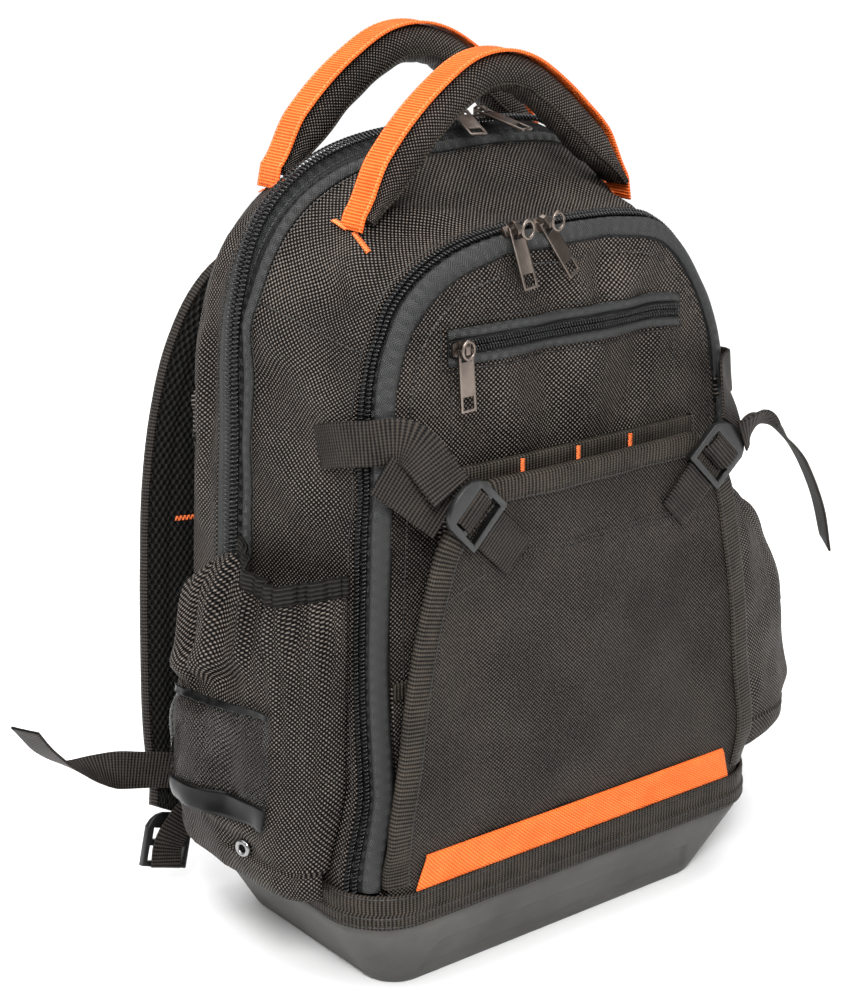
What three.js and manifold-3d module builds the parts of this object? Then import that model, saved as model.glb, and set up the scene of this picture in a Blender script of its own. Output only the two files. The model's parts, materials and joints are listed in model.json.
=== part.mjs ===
// A tool backpack: a soft hollow body on a moulded base, with an arched main zip and front zip,
// a front flap over an open tool pocket, two gathered side pockets, two padded carry handles,
// compression straps with ladder-lock buckles, and a padded back with shoulder straps.
// Millimetres. +Z is up, -Y is the front of the pack, +Y is the wearer's side, X is the width.
// The origin lies on the flat underside of the base, on the centre line.
import * as THREE from "three";
import { mergeVertices } from "three/addons/utils/BufferGeometryUtils.js";
import Module from "manifold-3d";

const wasm = await Module();
wasm.setup();

// Clearances and material thicknesses
const GAP = 0.3;
const SEAM_GAP = 0.8;
const CLOTH = 2.2;
const WEBBING = 1.6;
const WEBBING_WIDTH = 25;
const BINDING_WIDTH = 12;
const BINDING_THICKNESS = 1.2;

// Moulded base
const TRAY_HEIGHT = 54;
const TRAY_WIDTH = 312;
const TRAY_FRONT_Y = -120;
const TRAY_BACK_Y = 62;
const TRAY_CORNER = 36;
const TRAY_WALL = 3;
const TRAY_FOOT_INSET = 30;
const TRAY_FOOT_FRONT_INSET = 23;
const TRAY_FOOT_BACK_INSET = 12;
const TRAY_FOOT_CORNER = 20;
const TRAY_PANEL_WIDTH = 218;
const TRAY_PANEL_TOP_WIDTH = 202;
const TRAY_PANEL_LOW = 8;
const TRAY_PANEL_HEIGHT = 20;
const TRAY_PANEL_DEPTH = 1.2;
const BAND_HEIGHT = 21;
const BAND_THICKNESS = 2.2;
const BAND_STEP = 0.8;

// Cloth body
const BODY_HEIGHT = 423;
const BODY_WIDTH = 328;
const FRONT_WIDTH = 276;
const BACK_WIDTH = 312;
const MAIN_ZIP_Y = 5;
const FRONT_ZIP_DEPTH = 99;
const REAR_DEPTH = 51;
const GUSSET_BULGE = 2;
const GUSSET_SAG = 6;
const DROOP = 16;
const DROOP_START = 60;
const DROOP_WIDTH = 70;
const DROOP_LOW = 290;
const DROOP_HEIGHT = 130;
const FRONT_FLARE = 10;
const FLARE_RISE = 150;
const FOOT_RISE = 60;
const FOOT_TUCK = 1;
const BACK_LEAN = 12;
const PANEL_SETBACK = 5;
const PANEL_INSET = 12;
const PANEL_BULGE = 4;
const BACK_HOLLOW = 2;

// Zips
const ZIP_TAPE = 28;
const COIL_WIDTH = 7;
const COIL_HEIGHT = 2.2;
const TAPE_THICKNESS = 1.4;
const PIPING_WIDTH = 9;
const PIPING_HEIGHT = 3;
const POCKET_ZIP_WIDTH = 174;
const POCKET_ZIP_TAPE = 20;
const POCKET_ZIP_Z = 377;
const SLIDER_LENGTH = 12;
const SLIDER_WIDTH = 9;
const SLIDER_HEIGHT = 2.6;
const BRIDGE_HEIGHT = 5.5;
const BRIDGE_WIDTH = 3;
const BRIDGE_LENGTH = 8.6;
const PULL_LENGTH = 35;
const PULL_WIDTH = 10.5;
const PULL_THICKNESS = 1.6;
const PULL_FRAME = 1.6;
const PULL_WINDOW = 7;
const PULL_EYE = 7;

// Tool pocket, flap and stripe
const TOOL_POCKET_WIDTH = 184;
const TOOL_POCKET_TOP = 308;
const TOOL_POCKET_DEPTH = 10;
const FLAP_WIDTH = 284;
const FLAP_TOP = 310;
const FLAP_FRONT_Y = -121;
const FLAP_REACH = 4;
const FLAP_CROWN = 3;
const STRIPE_WIDTH = 248;
const STRIPE_TAPER = 7;
const STRIPE_HEIGHT = 21;
const STRIPE_THICKNESS = 0.8;

// Side pockets
const POCKET_LOW = 64;
const POCKET_HEIGHT = 184;
const POCKET_FRONT_Y = -84;
const POCKET_BACK_Y = 46;
const POCKET_REACH_LEFT = 28;
const POCKET_REACH_RIGHT = 84;
const POCKET_RIM_REACH = 20;
const POCKET_SEAM_SHARE = 0.56;
const GATHER_DEPTH = 3;
const GATHER_COUNT = 7;
const CUFF_HEIGHT = 11;
const CUFF_THICKNESS = 3.2;
const EYELET_DIAMETER = 12;
const EYELET_HOLE = 5;
const EYELET_Y = -34;
const EYELET_UP = 18;
const LABEL_THICKNESS = 0.6;
const LABEL_ROOM = 2.5;
const LABEL_WIDTH = 78;
const LABEL_HEIGHT = 76;
const LABEL_Y = -11;
const LABEL_Z = 134;
const LABEL_TILT = 4;

// Compression straps and their buckles
const STRAP_Z = 323;
const STRAP_SEW_Y = -60;
const BUCKLE_X = 93;
const BUCKLE_Z = 294;
const BUCKLE_LENGTH = 34;
const BUCKLE_WIDTH = 33;
const BUCKLE_THICKNESS = 4;
const BUCKLE_FRAME = 3.5;
const BUCKLE_BAR = 4;
const TAB_LENGTH = 30;

// Carry handles
const HANDLE_SHIFT = -7;
const HANDLE_THICKNESS = 22;
const HANDLE_DEPTH = 25;
const HANDLE_WEB_WIDTH = 20;
const FRONT_HANDLE_Y = -45;
const FRONT_HANDLE_SPAN = 192;
const FRONT_HANDLE_TOP = 36;
const FRONT_HANDLE_SEAT = 3.1;
const REAR_HANDLE_Y = 33;
const REAR_HANDLE_SPAN = 194;
const REAR_HANDLE_TOP = 45;
const REAR_HANDLE_SEAT = 1.1;

// Back padding and shoulder harness
const BACK_PAD_WIDTH = 214;
const BACK_PAD_LOW = 166;
const BACK_PAD_HEIGHT = 182;
const BACK_PAD_THICKNESS = 11;
const LUMBAR_WIDTH = 230;
const LUMBAR_LOW = 84;
const LUMBAR_HEIGHT = 74;
const LUMBAR_THICKNESS = 15;
const PAD_EDGE = 16;
const HARNESS_DEPTH = 44;
const HARNESS_LENGTH = 330;
const HARNESS_LOW = 58;
const HARNESS_SPREAD = 134;
const SHOULDER_WIDTH = 66;
const SHOULDER_THICKNESS = 10;
const HARNESS_SEAT = 3.3;
const WAIST_LENGTH = 122;
const WAIST_Z = 82;

// Heights and places that follow from the sizes above
const HEM_Z = TRAY_HEIGHT + GAP;
const BAND_LOW = TRAY_HEIGHT - 2;
const BAND_TOP = BAND_LOW + BAND_HEIGHT;
const FRONT_ZIP_Y = MAIN_ZIP_Y - FRONT_ZIP_DEPTH;
const PANEL_Y = FRONT_ZIP_Y - PANEL_SETBACK;
const BACK_Y = MAIN_ZIP_Y + REAR_DEPTH;
const GUSSET_FRONT_Y = FRONT_ZIP_Y + ZIP_TAPE / 2 - 4;
const ZIP_LOW = BAND_TOP + GAP;

// Each arch of the body: its width, how much of it is left where its corners begin, that height
// and its top as shares of the cloth's height, and the roundness of its corners
const ARCHES = {
  front: { width: FRONT_WIDTH, taper: 0.945, rise: 0.64, top: 0.896, power: 3 },
  main: { width: BODY_WIDTH, taper: 0.955, rise: 0.63, top: 1, power: 3.1 },
  back: { width: BACK_WIDTH, taper: 0.95, rise: 0.62, top: 0.965, power: 3.1 },
};
// Heights of the skin's stations between the band and the start of the corners, as shares
const SIDE_STATIONS = [0.08, 0.2, 0.4, 0.7];
// Directions of the stations round one rounded corner, in degrees
const CORNER_STATIONS = [0, 16, 30, 38, 45, 52, 60, 74, 90];

// Half widths of the flap and how far it stands out, by height from the band to its top
const FLAP_ROWS = [
  { up: -0.05, half: 0.975, out: -0.1 },
  { up: 0, half: 0.975, out: -0.05 },
  { up: 0.03, half: 0.98, out: 0.05 },
  { up: 0.09, half: 0.99, out: 0.15 },
  { up: 0.17, half: 0.985, out: 0.2 },
  { up: 0.26, half: 0.96, out: 0.24 },
  { up: 0.36, half: 0.932, out: 0.3 },
  { up: 0.47, half: 0.912, out: 0.36 },
  { up: 0.6, half: 0.875, out: 0.44 },
  { up: 0.73, half: 0.825, out: 0.6 },
  { up: 0.86, half: 0.765, out: 0.8 },
  { up: 0.94, half: 0.66, out: 0.92 },
  { up: 1, half: 0.545, out: 1 },
];
const FLAP_COLUMNS = 10;

// Rim of a side pocket from its front seam: the cuff bows out in front, and behind the cuff the
// cloth is sewn down to the body
const POCKET_RIM = [
  { along: 0, height: 0.985, reach: 0 },
  { along: 0.1, height: 0.965, reach: 0.7 },
  { along: 0.22, height: 0.945, reach: 1 },
  { along: 0.36, height: 0.95, reach: 0.85 },
  { along: 0.48, height: 0.985, reach: 0.35 },
  { along: POCKET_SEAM_SHARE, height: 1.03, reach: 0 },
  { along: 0.78, height: 0.95, reach: 0 },
  { along: 1, height: 0.82, reach: 0 },
];
// Rows of a side pocket from its rim down: how full it is, how square its section and how deep
// its gathers are
const POCKET_ROWS = [
  { down: 0, full: 0, square: 2.6, gather: 0.6 },
  { down: 0.05, full: 0.3, square: 2.6, gather: 1 },
  { down: 0.12, full: 0.56, square: 2.8, gather: 0.8 },
  { down: 0.24, full: 0.8, square: 3.2, gather: 0.4 },
  { down: 0.42, full: 0.95, square: 4, gather: 0.12 },
  { down: 0.8, full: 1, square: 6, gather: 0 },
  { down: 0.93, full: 0.95, square: 6, gather: 0 },
  { down: 0.99, full: 0.8, square: 6, gather: 0 },
  { down: 1, full: 0.5, square: 6, gather: 0 },
  { down: 1, full: 0.12, square: 6, gather: 0 },
];
const POCKET_COLUMNS = 18;

// Arc of a carry handle: along its half span, up its rise
const HANDLE_ARC = [
  { along: -1, up: 0 },
  { along: -0.8, up: 0.29 },
  { along: -0.6, up: 0.58 },
  { along: -0.4, up: 0.8 },
  { along: -0.18, up: 0.97 },
  { along: 0, up: 1 },
  { along: 0.18, up: 0.93 },
  { along: 0.4, up: 0.72 },
  { along: 0.6, up: 0.47 },
  { along: 0.8, up: 0.22 },
  { along: 1, up: 0 },
];

// Route of a shoulder strap from its top: height, distance from the centre, from the back, width
const HARNESS_ROWS = [
  { up: 1, aside: 0.33, out: 0, width: 0.86 },
  { up: 0.99, aside: 0.38, out: 0.5, width: 0.92 },
  { up: 0.964, aside: 0.48, out: 0.78, width: 1 },
  { up: 0.921, aside: 0.66, out: 0.9, width: 1 },
  { up: 0.839, aside: 0.78, out: 0.97, width: 1 },
  { up: 0.727, aside: 0.86, out: 1, width: 1 },
  { up: 0.603, aside: 0.92, out: 0.96, width: 1 },
  { up: 0.467, aside: 0.96, out: 0.88, width: 1 },
  { up: 0.309, aside: 1, out: 0.76, width: 1 },
  { up: 0.158, aside: 1.06, out: 0.64, width: 0.88 },
  { up: 0.052, aside: 1.13, out: 0.52, width: 0.64 },
  { up: 0, aside: 1.2, out: 0.42, width: 0.45 },
];

// Free end of the waist strap: how far out, up and back, and its turn about its own line
const WAIST_ROWS = [
  { out: 0, up: 0, back: 0, turn: 0 },
  { out: 0.2, up: 0.07, back: 0.08, turn: 0 },
  { out: 0.42, up: 0.12, back: 0.12, turn: 8 },
  { out: 0.58, up: 0.16, back: 0.14, turn: 55 },
  { out: 0.74, up: 0.22, back: 0.14, turn: 95 },
  { out: 0.88, up: 0.34, back: 0.12, turn: 110 },
  { out: 1, up: 0.5, back: 0.1, turn: 115 },
];

const v3 = (x, y, z) => new THREE.Vector3(x, y, z);
const mix = THREE.MathUtils.lerp;
const ease = (t) => THREE.MathUtils.smoothstep(t, 0, 1);
const radians = THREE.MathUtils.degToRad;

// Reads one column of a table between the two rows on either side of a place
function read(rows, place, at, column) {
  const forward = rows.at(-1)[place] > rows[0][place];
  const ordered = forward ? rows : [...rows].reverse();
  const next = ordered.findIndex((row) => row[place] >= at);
  if (next === 0) return ordered[0][column];
  if (next < 0) return ordered.at(-1)[column];
  const [a, b] = [ordered[next - 1], ordered[next]];
  return mix(a[column], b[column], (at - a[place]) / (b[place] - a[place]));
}

// Gives evenly numbered values from one end to the other
const steps = (from, to, count) =>
  Array.from({ length: count + 1 }, (_, i) => mix(from, to, i / count));

// A geometry from loose triangles, with shared points merged and empty triangles dropped
function fromTriangles(triangles) {
  const loose = new THREE.BufferGeometry();
  const values = triangles.flatMap((p) => [p.x, p.y, p.z]);
  loose.setAttribute("position", new THREE.Float32BufferAttribute(values, 3));
  const merged = mergeVertices(loose, 1e-3);
  const kept = [];
  for (let i = 0; i < merged.index.count; i += 3) {
    const [a, b, c] = [0, 1, 2].map((k) => merged.index.getX(i + k));
    if (a !== b && b !== c && c !== a) kept.push(a, b, c);
  }
  merged.setIndex(kept);
  return merged;
}

// The two triangles of each cell of a grid of points
function gridTriangles(grid) {
  const out = [];
  for (let i = 1; i < grid.length; i++)
    for (let j = 1; j < grid[i].length; j++) {
      const [a, b] = [grid[i - 1][j - 1], grid[i][j - 1]];
      const [c, d] = [grid[i][j], grid[i - 1][j]];
      out.push(a, b, c, a, c, d);
    }
  return out;
}

// Turns a closed geometry's faces outwards
function facingOut(geometry) {
  const p = geometry.getAttribute("position");
  const corner = (i) => v3().fromBufferAttribute(p, geometry.index.getX(i));
  let volume = 0;
  for (let i = 0; i < geometry.index.count; i += 3)
    volume += corner(i).dot(corner(i + 1).cross(corner(i + 2)));
  if (volume > 0) return geometry;
  const index = [...geometry.index.array];
  for (let i = 0; i < index.length; i += 3)
    [index[i], index[i + 1]] = [index[i + 1], index[i]];
  geometry.setIndex(index);
  return geometry;
}

// A wall of cloth: grids that share borders make its outer face, and the inner face lies one
// thickness behind it; the open border is closed by a hem
function wall(grids, thickness) {
  const outer = fromTriangles(grids.flatMap(gridTriangles));
  outer.computeVertexNormals();
  const p = outer.getAttribute("position");
  const n = outer.getAttribute("normal");
  const at = (i) => v3().fromBufferAttribute(p, i);
  const behind = (i) =>
    at(i).addScaledVector(v3().fromBufferAttribute(n, i), -thickness);
  const index = outer.index.array;
  const edges = new Set();
  for (let i = 0; i < index.length; i += 3)
    for (const [a, b] of [[0, 1], [1, 2], [2, 0]])
      edges.add(index[i + a] + "/" + index[i + b]);
  const triangles = [];
  for (let i = 0; i < index.length; i += 3) {
    const [a, b, c] = [index[i], index[i + 1], index[i + 2]];
    triangles.push(at(a), at(b), at(c), behind(a), behind(c), behind(b));
  }
  for (const edge of edges) {
    const [a, b] = edge.split("/").map(Number);
    if (edges.has(b + "/" + a)) continue;
    triangles.push(at(b), at(a), behind(a), at(b), behind(a), behind(b));
  }
  return facingOut(fromTriangles(triangles));
}

// Reads a grid's surface: gives its third coordinate over a place in its flat view
function surfaceAt(grid, [a, b], c) {
  const t = gridTriangles(grid);
  return (p, q) => {
    let best = { miss: Infinity };
    for (let i = 0; i < t.length; i += 3) {
      const [u, v, w] = [t[i], t[i + 1], t[i + 2]];
      const area = (v[a] - u[a]) * (w[b] - u[b]) - (v[b] - u[b]) * (w[a] - u[a]);
      if (Math.abs(area) < 1e-6) continue;
      const s = ((p - u[a]) * (w[b] - u[b]) - (q - u[b]) * (w[a] - u[a])) / area;
      const r = ((v[a] - u[a]) * (q - u[b]) - (v[b] - u[b]) * (p - u[a])) / area;
      const miss = Math.max(-s, -r, s + r - 1, 0);
      const value = u[c] + s * (v[c] - u[c]) + r * (w[c] - u[c]);
      if (miss < best.miss) best = { miss, value };
    }
    return best.value;
  };
}

// Triangles that close a flat ring of points
function cap(ring) {
  const normal = v3();
  ring.forEach((a, i) => normal.add(a.clone().cross(ring[(i + 1) % ring.length])));
  normal.normalize();
  const across = ring[1].clone().sub(ring[0]).normalize();
  const along = normal.clone().cross(across);
  const flat = ring.map((q) => new THREE.Vector2(q.dot(across), q.dot(along)));
  return THREE.ShapeUtils.triangulateShape(flat, []).flatMap((t) => t.map((i) => ring[i]));
}

// A solid through a row of rings with equally many points; a loop joins its ends
function sweep(rings, loop = false) {
  const rows = rings.map((ring) => [...ring, ring[0]]);
  if (loop) return facingOut(fromTriangles(gridTriangles([...rows, rows[0]])));
  const ends = [...cap(rings[0]), ...cap([...rings.at(-1)].reverse())];
  return facingOut(fromTriangles([...gridTriangles(rows), ...ends]));
}

// Webbing along a path: each station has a place and the direction of the webbing's width
function webbing(stations, width, thickness) {
  const rings = stations.map(({ at, across }, i) => {
    const before = stations[Math.max(i - 1, 0)].at;
    const after = stations[Math.min(i + 1, stations.length - 1)].at;
    const along = after.clone().sub(before).normalize();
    const side = across.clone().addScaledVector(along, -across.dot(along)).normalize();
    const face = along.clone().cross(side);
    const corner = (s, f) =>
      at.clone().addScaledVector(side, (s * width) / 2).addScaledVector(face, (f * thickness) / 2);
    return [corner(-1, -1), corner(1, -1), corner(1, 1), corner(-1, 1)];
  });
  return sweep(rings);
}

// Smooth stations between a few given ones
function smoothStations(stations, count) {
  const path = new THREE.CatmullRomCurve3(stations.map((s) => s.at));
  const widths = new THREE.CatmullRomCurve3(stations.map((s) => s.across));
  return steps(0, 1, count).map((t) => ({ at: path.getPoint(t), across: widths.getPoint(t) }));
}

// Boolean joins and cuts on closed geometries
function solid(geometry) {
  const bare = geometry.index ? geometry.toNonIndexed() : geometry.clone();
  bare.deleteAttribute("normal");
  bare.deleteAttribute("uv");
  const merged = mergeVertices(bare, 1e-3);
  return new wasm.Manifold(
    new wasm.Mesh({
      numProp: 3,
      vertProperties: merged.getAttribute("position").array,
      triVerts: new Uint32Array(merged.index.array),
    }),
  );
}
function geometryOf(manifold) {
  const mesh = manifold.getMesh();
  const geometry = new THREE.BufferGeometry();
  geometry.setAttribute("position", new THREE.BufferAttribute(mesh.vertProperties, 3));
  geometry.setIndex(new THREE.BufferAttribute(mesh.triVerts, 1));
  return geometry;
}
const cut = (geometry, tool) => geometryOf(solid(geometry).subtract(solid(tool)));
const join = (a, b) => geometryOf(solid(a).add(solid(b)));

// A flat plate with holes, its outline in its own plane and its thickness centred on it
function plate(outline, holes, thickness, curveSegments = 4) {
  const shape = Array.isArray(outline) ? new THREE.Shape(outline) : outline;
  shape.holes = holes.map((hole) => new THREE.Path(hole));
  const geometry = new THREE.ExtrudeGeometry(shape, {
    depth: thickness,
    bevelEnabled: false,
    curveSegments,
  });
  return geometry.translate(0, 0, -thickness / 2);
}
const rectangle = (x0, y0, x1, y1) =>
  [[x0, y0], [x1, y0], [x1, y1], [x0, y1]].map(([x, y]) => new THREE.Vector2(x, y));

// A matrix that carries local x, y and z to two given directions and their normal
function frameAt(origin, xAxis, yAxis) {
  const x = xAxis.clone().normalize();
  const z = x.clone().cross(yAxis).normalize();
  return new THREE.Matrix4().makeBasis(x, z.clone().cross(x), z).setPosition(origin);
}

// Materials
const paint = (color, roughness, metalness = 0) =>
  new THREE.MeshStandardMaterial({ color, roughness, metalness });
const ballisticNylon = () => paint(0x2b2725, 0.75);
const darkWebbing = () => paint(0x35322f, 0.8);
const zipTape = () => paint(0x34373a, 0.6);
const orangeWebbing = () => paint(0xff8448, 0.7);
const satinBinding = () => paint(0x2c2f31, 0.5);
const mouldedBase = () => paint(0x5e5c5a, 0.6);
const blackPlastic = () => paint(0x1c1c1c, 0.4);
const gunmetal = () => paint(0x9a9089, 0.35, 0.9);
const spacerMesh = () => paint(0x1d1c1c, 0.9);
const clearSheet = () => paint(0x6a7072, 0.15);

// The filled bag droops at its right shoulder, and what is sewn there moves with it
function drooped(geometry) {
  const p = geometry.getAttribute("position");
  for (let i = 0; i < p.count; i++) {
    const across = ease((p.getX(i) - DROOP_START) / DROOP_WIDTH);
    const drop = DROOP * across * ease((p.getZ(i) - DROOP_LOW) / DROOP_HEIGHT);
    p.setXYZ(i, p.getX(i) - 0.75 * drop, p.getY(i), p.getZ(i) - 0.6 * drop);
  }
  return geometry;
}

const backpack = new THREE.Group();
function add(name, geometry, material, parent = backpack) {
  const placed = parent === backpack ? drooped(geometry) : geometry;
  const mesh = new THREE.Mesh(placed, material);
  mesh.name = name;
  parent.add(mesh);
  return mesh;
}
// Turns a geometry to the pack's other side
function mirrored(geometry) {
  const copy = geometry.clone().scale(-1, 1, 1);
  if (!copy.index) copy.setIndex([...Array(copy.getAttribute("position").count).keys()]);
  return facingOut(copy);
}

// Outline of the base at a share of its taper, grown by an outset
function baseRing(z, taper, outset) {
  const half = TRAY_WIDTH / 2 - TRAY_FOOT_INSET * taper + outset;
  const front = TRAY_FRONT_Y + TRAY_FOOT_FRONT_INSET * taper - outset;
  const back = TRAY_BACK_Y - TRAY_FOOT_BACK_INSET * taper + outset;
  const corner = mix(TRAY_CORNER, TRAY_FOOT_CORNER, taper) + outset;
  const centres = [
    { x: half - corner, y: front + corner, turn: -90 },
    { x: half - corner, y: back - corner, turn: 0 },
    { x: corner - half, y: back - corner, turn: 90 },
    { x: corner - half, y: front + corner, turn: 180 },
  ];
  return centres.flatMap(({ x, y, turn }) =>
    steps(turn, turn + 90, 5).map((degrees) =>
      v3(x + corner * Math.cos(radians(degrees)), y + corner * Math.sin(radians(degrees)), z),
    ),
  );
}

// Half width of the base's rim at a depth, and the depth of its front edge at a distance aside
function baseHalf(y) {
  const half = TRAY_WIDTH / 2;
  const past = Math.max(TRAY_FRONT_Y + TRAY_CORNER - y, y - TRAY_BACK_Y + TRAY_CORNER, 0);
  const bend = Math.min(past, TRAY_CORNER);
  return half - TRAY_CORNER + Math.sqrt(TRAY_CORNER ** 2 - bend ** 2);
}
function baseFront(x) {
  const past = Math.min(Math.max(Math.abs(x) - TRAY_WIDTH / 2 + TRAY_CORNER, 0), TRAY_CORNER);
  return TRAY_FRONT_Y + TRAY_CORNER - Math.sqrt(TRAY_CORNER ** 2 - past ** 2);
}

// Rings of the tray from its foot to its rim, by share of height and of taper
const TRAY_ROWS = [
  { up: 0, taper: 1 },
  { up: 0.12, taper: 0.86 },
  { up: 0.86, taper: 0.04 },
  { up: 1, taper: 0 },
];

function trayGeometry() {
  const outer = TRAY_ROWS.map(({ up, taper }) => baseRing(up * TRAY_HEIGHT, taper, 0));
  const floor = TRAY_WALL;
  const inner = TRAY_ROWS.map(({ up, taper }) =>
    baseRing(mix(floor, TRAY_HEIGHT, up), taper, -TRAY_WALL),
  ).reverse();
  const bowl = sweep([...outer, ...inner]);
  const [low, high] = [TRAY_ROWS[1], TRAY_ROWS[2]];
  const frontAt = ({ up, taper }) =>
    v3(0, TRAY_FRONT_Y + TRAY_FOOT_FRONT_INSET * taper, up * TRAY_HEIGHT);
  const slope = frontAt(high).sub(frontAt(low)).normalize();
  const place = frameAt(frontAt(low), v3(1, 0, 0), slope);
  const lowEdge = TRAY_PANEL_LOW - low.up * TRAY_HEIGHT;
  const panel = plate(
    [
      new THREE.Vector2(-TRAY_PANEL_WIDTH / 2, lowEdge),
      new THREE.Vector2(TRAY_PANEL_WIDTH / 2, lowEdge),
      new THREE.Vector2(TRAY_PANEL_TOP_WIDTH / 2, lowEdge + TRAY_PANEL_HEIGHT),
      new THREE.Vector2(-TRAY_PANEL_TOP_WIDTH / 2, lowEdge + TRAY_PANEL_HEIGHT),
    ],
    [],
    2 * TRAY_PANEL_DEPTH,
  );
  return cut(bowl, panel.applyMatrix4(place));
}

function bandGeometry() {
  const seam = BAND_LOW + BAND_HEIGHT * 0.42;
  const section = [
    { z: BAND_LOW, out: GAP },
    { z: BAND_TOP, out: GAP },
    { z: BAND_TOP, out: BAND_THICKNESS },
    { z: seam, out: BAND_THICKNESS },
    { z: seam, out: BAND_THICKNESS + BAND_STEP },
    { z: BAND_LOW, out: BAND_THICKNESS + BAND_STEP },
  ];
  const rings = section.map(({ z, out }) => baseRing(z, 0, out));
  return sweep(rings, true);
}

// Width, corner height, top and roundness of the body's arch at a depth
function bodyAt(y) {
  const forward = (MAIN_ZIP_Y - y) / FRONT_ZIP_DEPTH;
  const backward = (y - MAIN_ZIP_Y) / REAR_DEPTH;
  const other = forward > 0 ? ARCHES.front : ARCHES.back;
  const share = THREE.MathUtils.clamp(Math.max(forward, backward), 0, 1);
  const at = (column) => mix(ARCHES.main[column], other[column], share);
  const between = 4 * share * (1 - share);
  return {
    half: at("width") / 2 + GUSSET_BULGE * between,
    taper: at("taper"),
    rise: TRAY_HEIGHT + BODY_HEIGHT * at("rise"),
    top: TRAY_HEIGHT + BODY_HEIGHT * at("top") - (forward > 0 ? GUSSET_SAG * between : 0),
    power: at("power"),
    frontShare: forward > 0 ? share : 0,
    backShare: backward > 0 ? share : 0,
  };
}

// Depth of the skin at a height: it flares out to the base in front and leans in at the top behind
function depthAt(y, z, body) {
  const flare = FRONT_FLARE * body.frontShare * (1 - ease((z - BAND_TOP) / FLARE_RISE));
  const lean = BACK_LEAN * body.backShare * ease((z - body.rise) / (body.top - body.rise));
  return y - flare - lean;
}

// Half width of an arch at a height below its rounded corners
function sideHalf(body, z) {
  const up = THREE.MathUtils.clamp((z - BAND_TOP) / (body.rise - BAND_TOP), 0, 1);
  return body.half * mix(1, body.taper, up ** 2);
}

// Half width of the skin at a depth and a height: its foot follows the base
function halfAt(y, z) {
  const body = bodyAt(y);
  const foot = baseHalf(depthAt(y, z, body)) - FOOT_TUCK;
  return mix(foot, sideHalf(body, z), ease((z - BAND_TOP) / FOOT_RISE));
}

// One arch of the skin, from the left foot over the top to the right foot. A positive inset
// lies inside the skin and a negative one outside it
function arch(y, inset = 0, low = HEM_Z) {
  const body = bodyAt(y);
  const side = [low, ...(low < BAND_TOP ? [BAND_TOP] : [])];
  for (const share of SIDE_STATIONS) side.push(mix(BAND_TOP, body.rise, share));
  const left = side.map((z) => v3(inset - halfAt(y, z), depthAt(y, z, body), z));
  const [a, b] = [body.half * body.taper - inset, body.top - inset - body.rise];
  const round = CORNER_STATIONS.map((degrees) => {
    const [c, s] = [Math.cos(radians(degrees)), Math.sin(radians(degrees))];
    const scale = (c ** body.power + s ** body.power) ** (-1 / body.power);
    const z = body.rise + b * scale * s;
    return v3(-a * scale * c, depthAt(y, z, body), z);
  });
  const across = (q) => v3(-q.x, q.y, q.z);
  const half = [...left, ...round.slice(0, -1)];
  return [...half, round.at(-1).setX(0), ...half.reverse().map(across)];
}

// Where the rounded corners start and end along an arch
const sideCount = SIDE_STATIONS.length + 2;

// A patch of cloth that fills a border of four edges, then is pushed to its depth
function patch(bottom, top, left, right, depth) {
  const rows = left.length - 1;
  const columns = bottom.length - 1;
  return left.map((_, i) =>
    bottom.map((__, j) => {
      const [s, t] = [j / columns, i / rows];
      const ruled = bottom[j].clone().lerp(top[j], t).add(left[i].clone().lerp(right[i], s));
      const low = bottom[0].clone().lerp(bottom[columns], s);
      const high = top[0].clone().lerp(top[columns], s);
      const point = ruled.sub(low.lerp(high, t));
      const onEdge = i === 0 || j === 0 || i === rows || j === columns;
      return onEdge ? point : v3(point.x, depth(point.x, point.z), point.z);
    }),
  );
}

// The panel that fills an arch: its bottom edge is straight across
function archPanel(border, depth) {
  const last = border.length - 1;
  const left = border.slice(0, sideCount + 1);
  const right = border.slice(last - sideCount).reverse();
  const top = border.slice(sideCount, last - sideCount + 1);
  const bottom = top.map((_, j) => {
    const x = mix(border[0].x, border[last].x, j / (top.length - 1));
    return v3(x, j === 0 || j === top.length - 1 ? border[0].y : depth(x, HEM_Z), HEM_Z);
  });
  return patch(bottom, top, left, right, depth);
}

// How far a place on a panel lies from the arch's border, from 1 in the middle to 0 at it
function fullness(x, z, body, inset) {
  const aside = Math.abs(x) / (sideHalf(body, z) - inset);
  const up = Math.max(z - body.rise, 0) / (body.top - inset - body.rise);
  return Math.max(1 - aside ** body.power - up ** body.power, 0);
}

// Depth of the front panel's face and of the back panel's face
function faceY(x, z) {
  const body = bodyAt(FRONT_ZIP_Y);
  const bulge = PANEL_BULGE * ease((z - HEM_Z) / FLARE_RISE);
  return depthAt(PANEL_Y, z, body) - bulge * fullness(x, z, body, PANEL_INSET);
}
function backFaceY(x, z) {
  const body = bodyAt(BACK_Y);
  return depthAt(BACK_Y, z, body) - BACK_HOLLOW * fullness(x, z, body, 0);
}

const backPanel = () => archPanel(arch(BACK_Y), backFaceY);
const backSeat = surfaceAt(backPanel(), ["x", "z"], "y");
function rearShellGeometry() {
  const first = MAIN_ZIP_Y + ZIP_TAPE / 2 + SEAM_GAP;
  const gusset = [BACK_Y, mix(first, BACK_Y, 0.6), first].map((y) => arch(y));
  return wall([gusset, backPanel()], CLOTH);
}

function middleShellGeometry() {
  const back = MAIN_ZIP_Y - ZIP_TAPE / 2 - SEAM_GAP;
  const rows = steps(back, GUSSET_FRONT_Y + SEAM_GAP, 3).map((y) => arch(y));
  return wall([rows], CLOTH);
}

// The front panel lies inside the front zip
function frontBorder() {
  return arch(FRONT_ZIP_Y, PANEL_INSET).map((q) => q.setY(q.y - PANEL_SETBACK));
}
const frontPanel = () => archPanel(frontBorder(), faceY);
const frontSeat = surfaceAt(frontPanel(), ["x", "z"], "y");
const frontShellGeometry = () => wall([frontPanel().reverse()], CLOTH);

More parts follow.
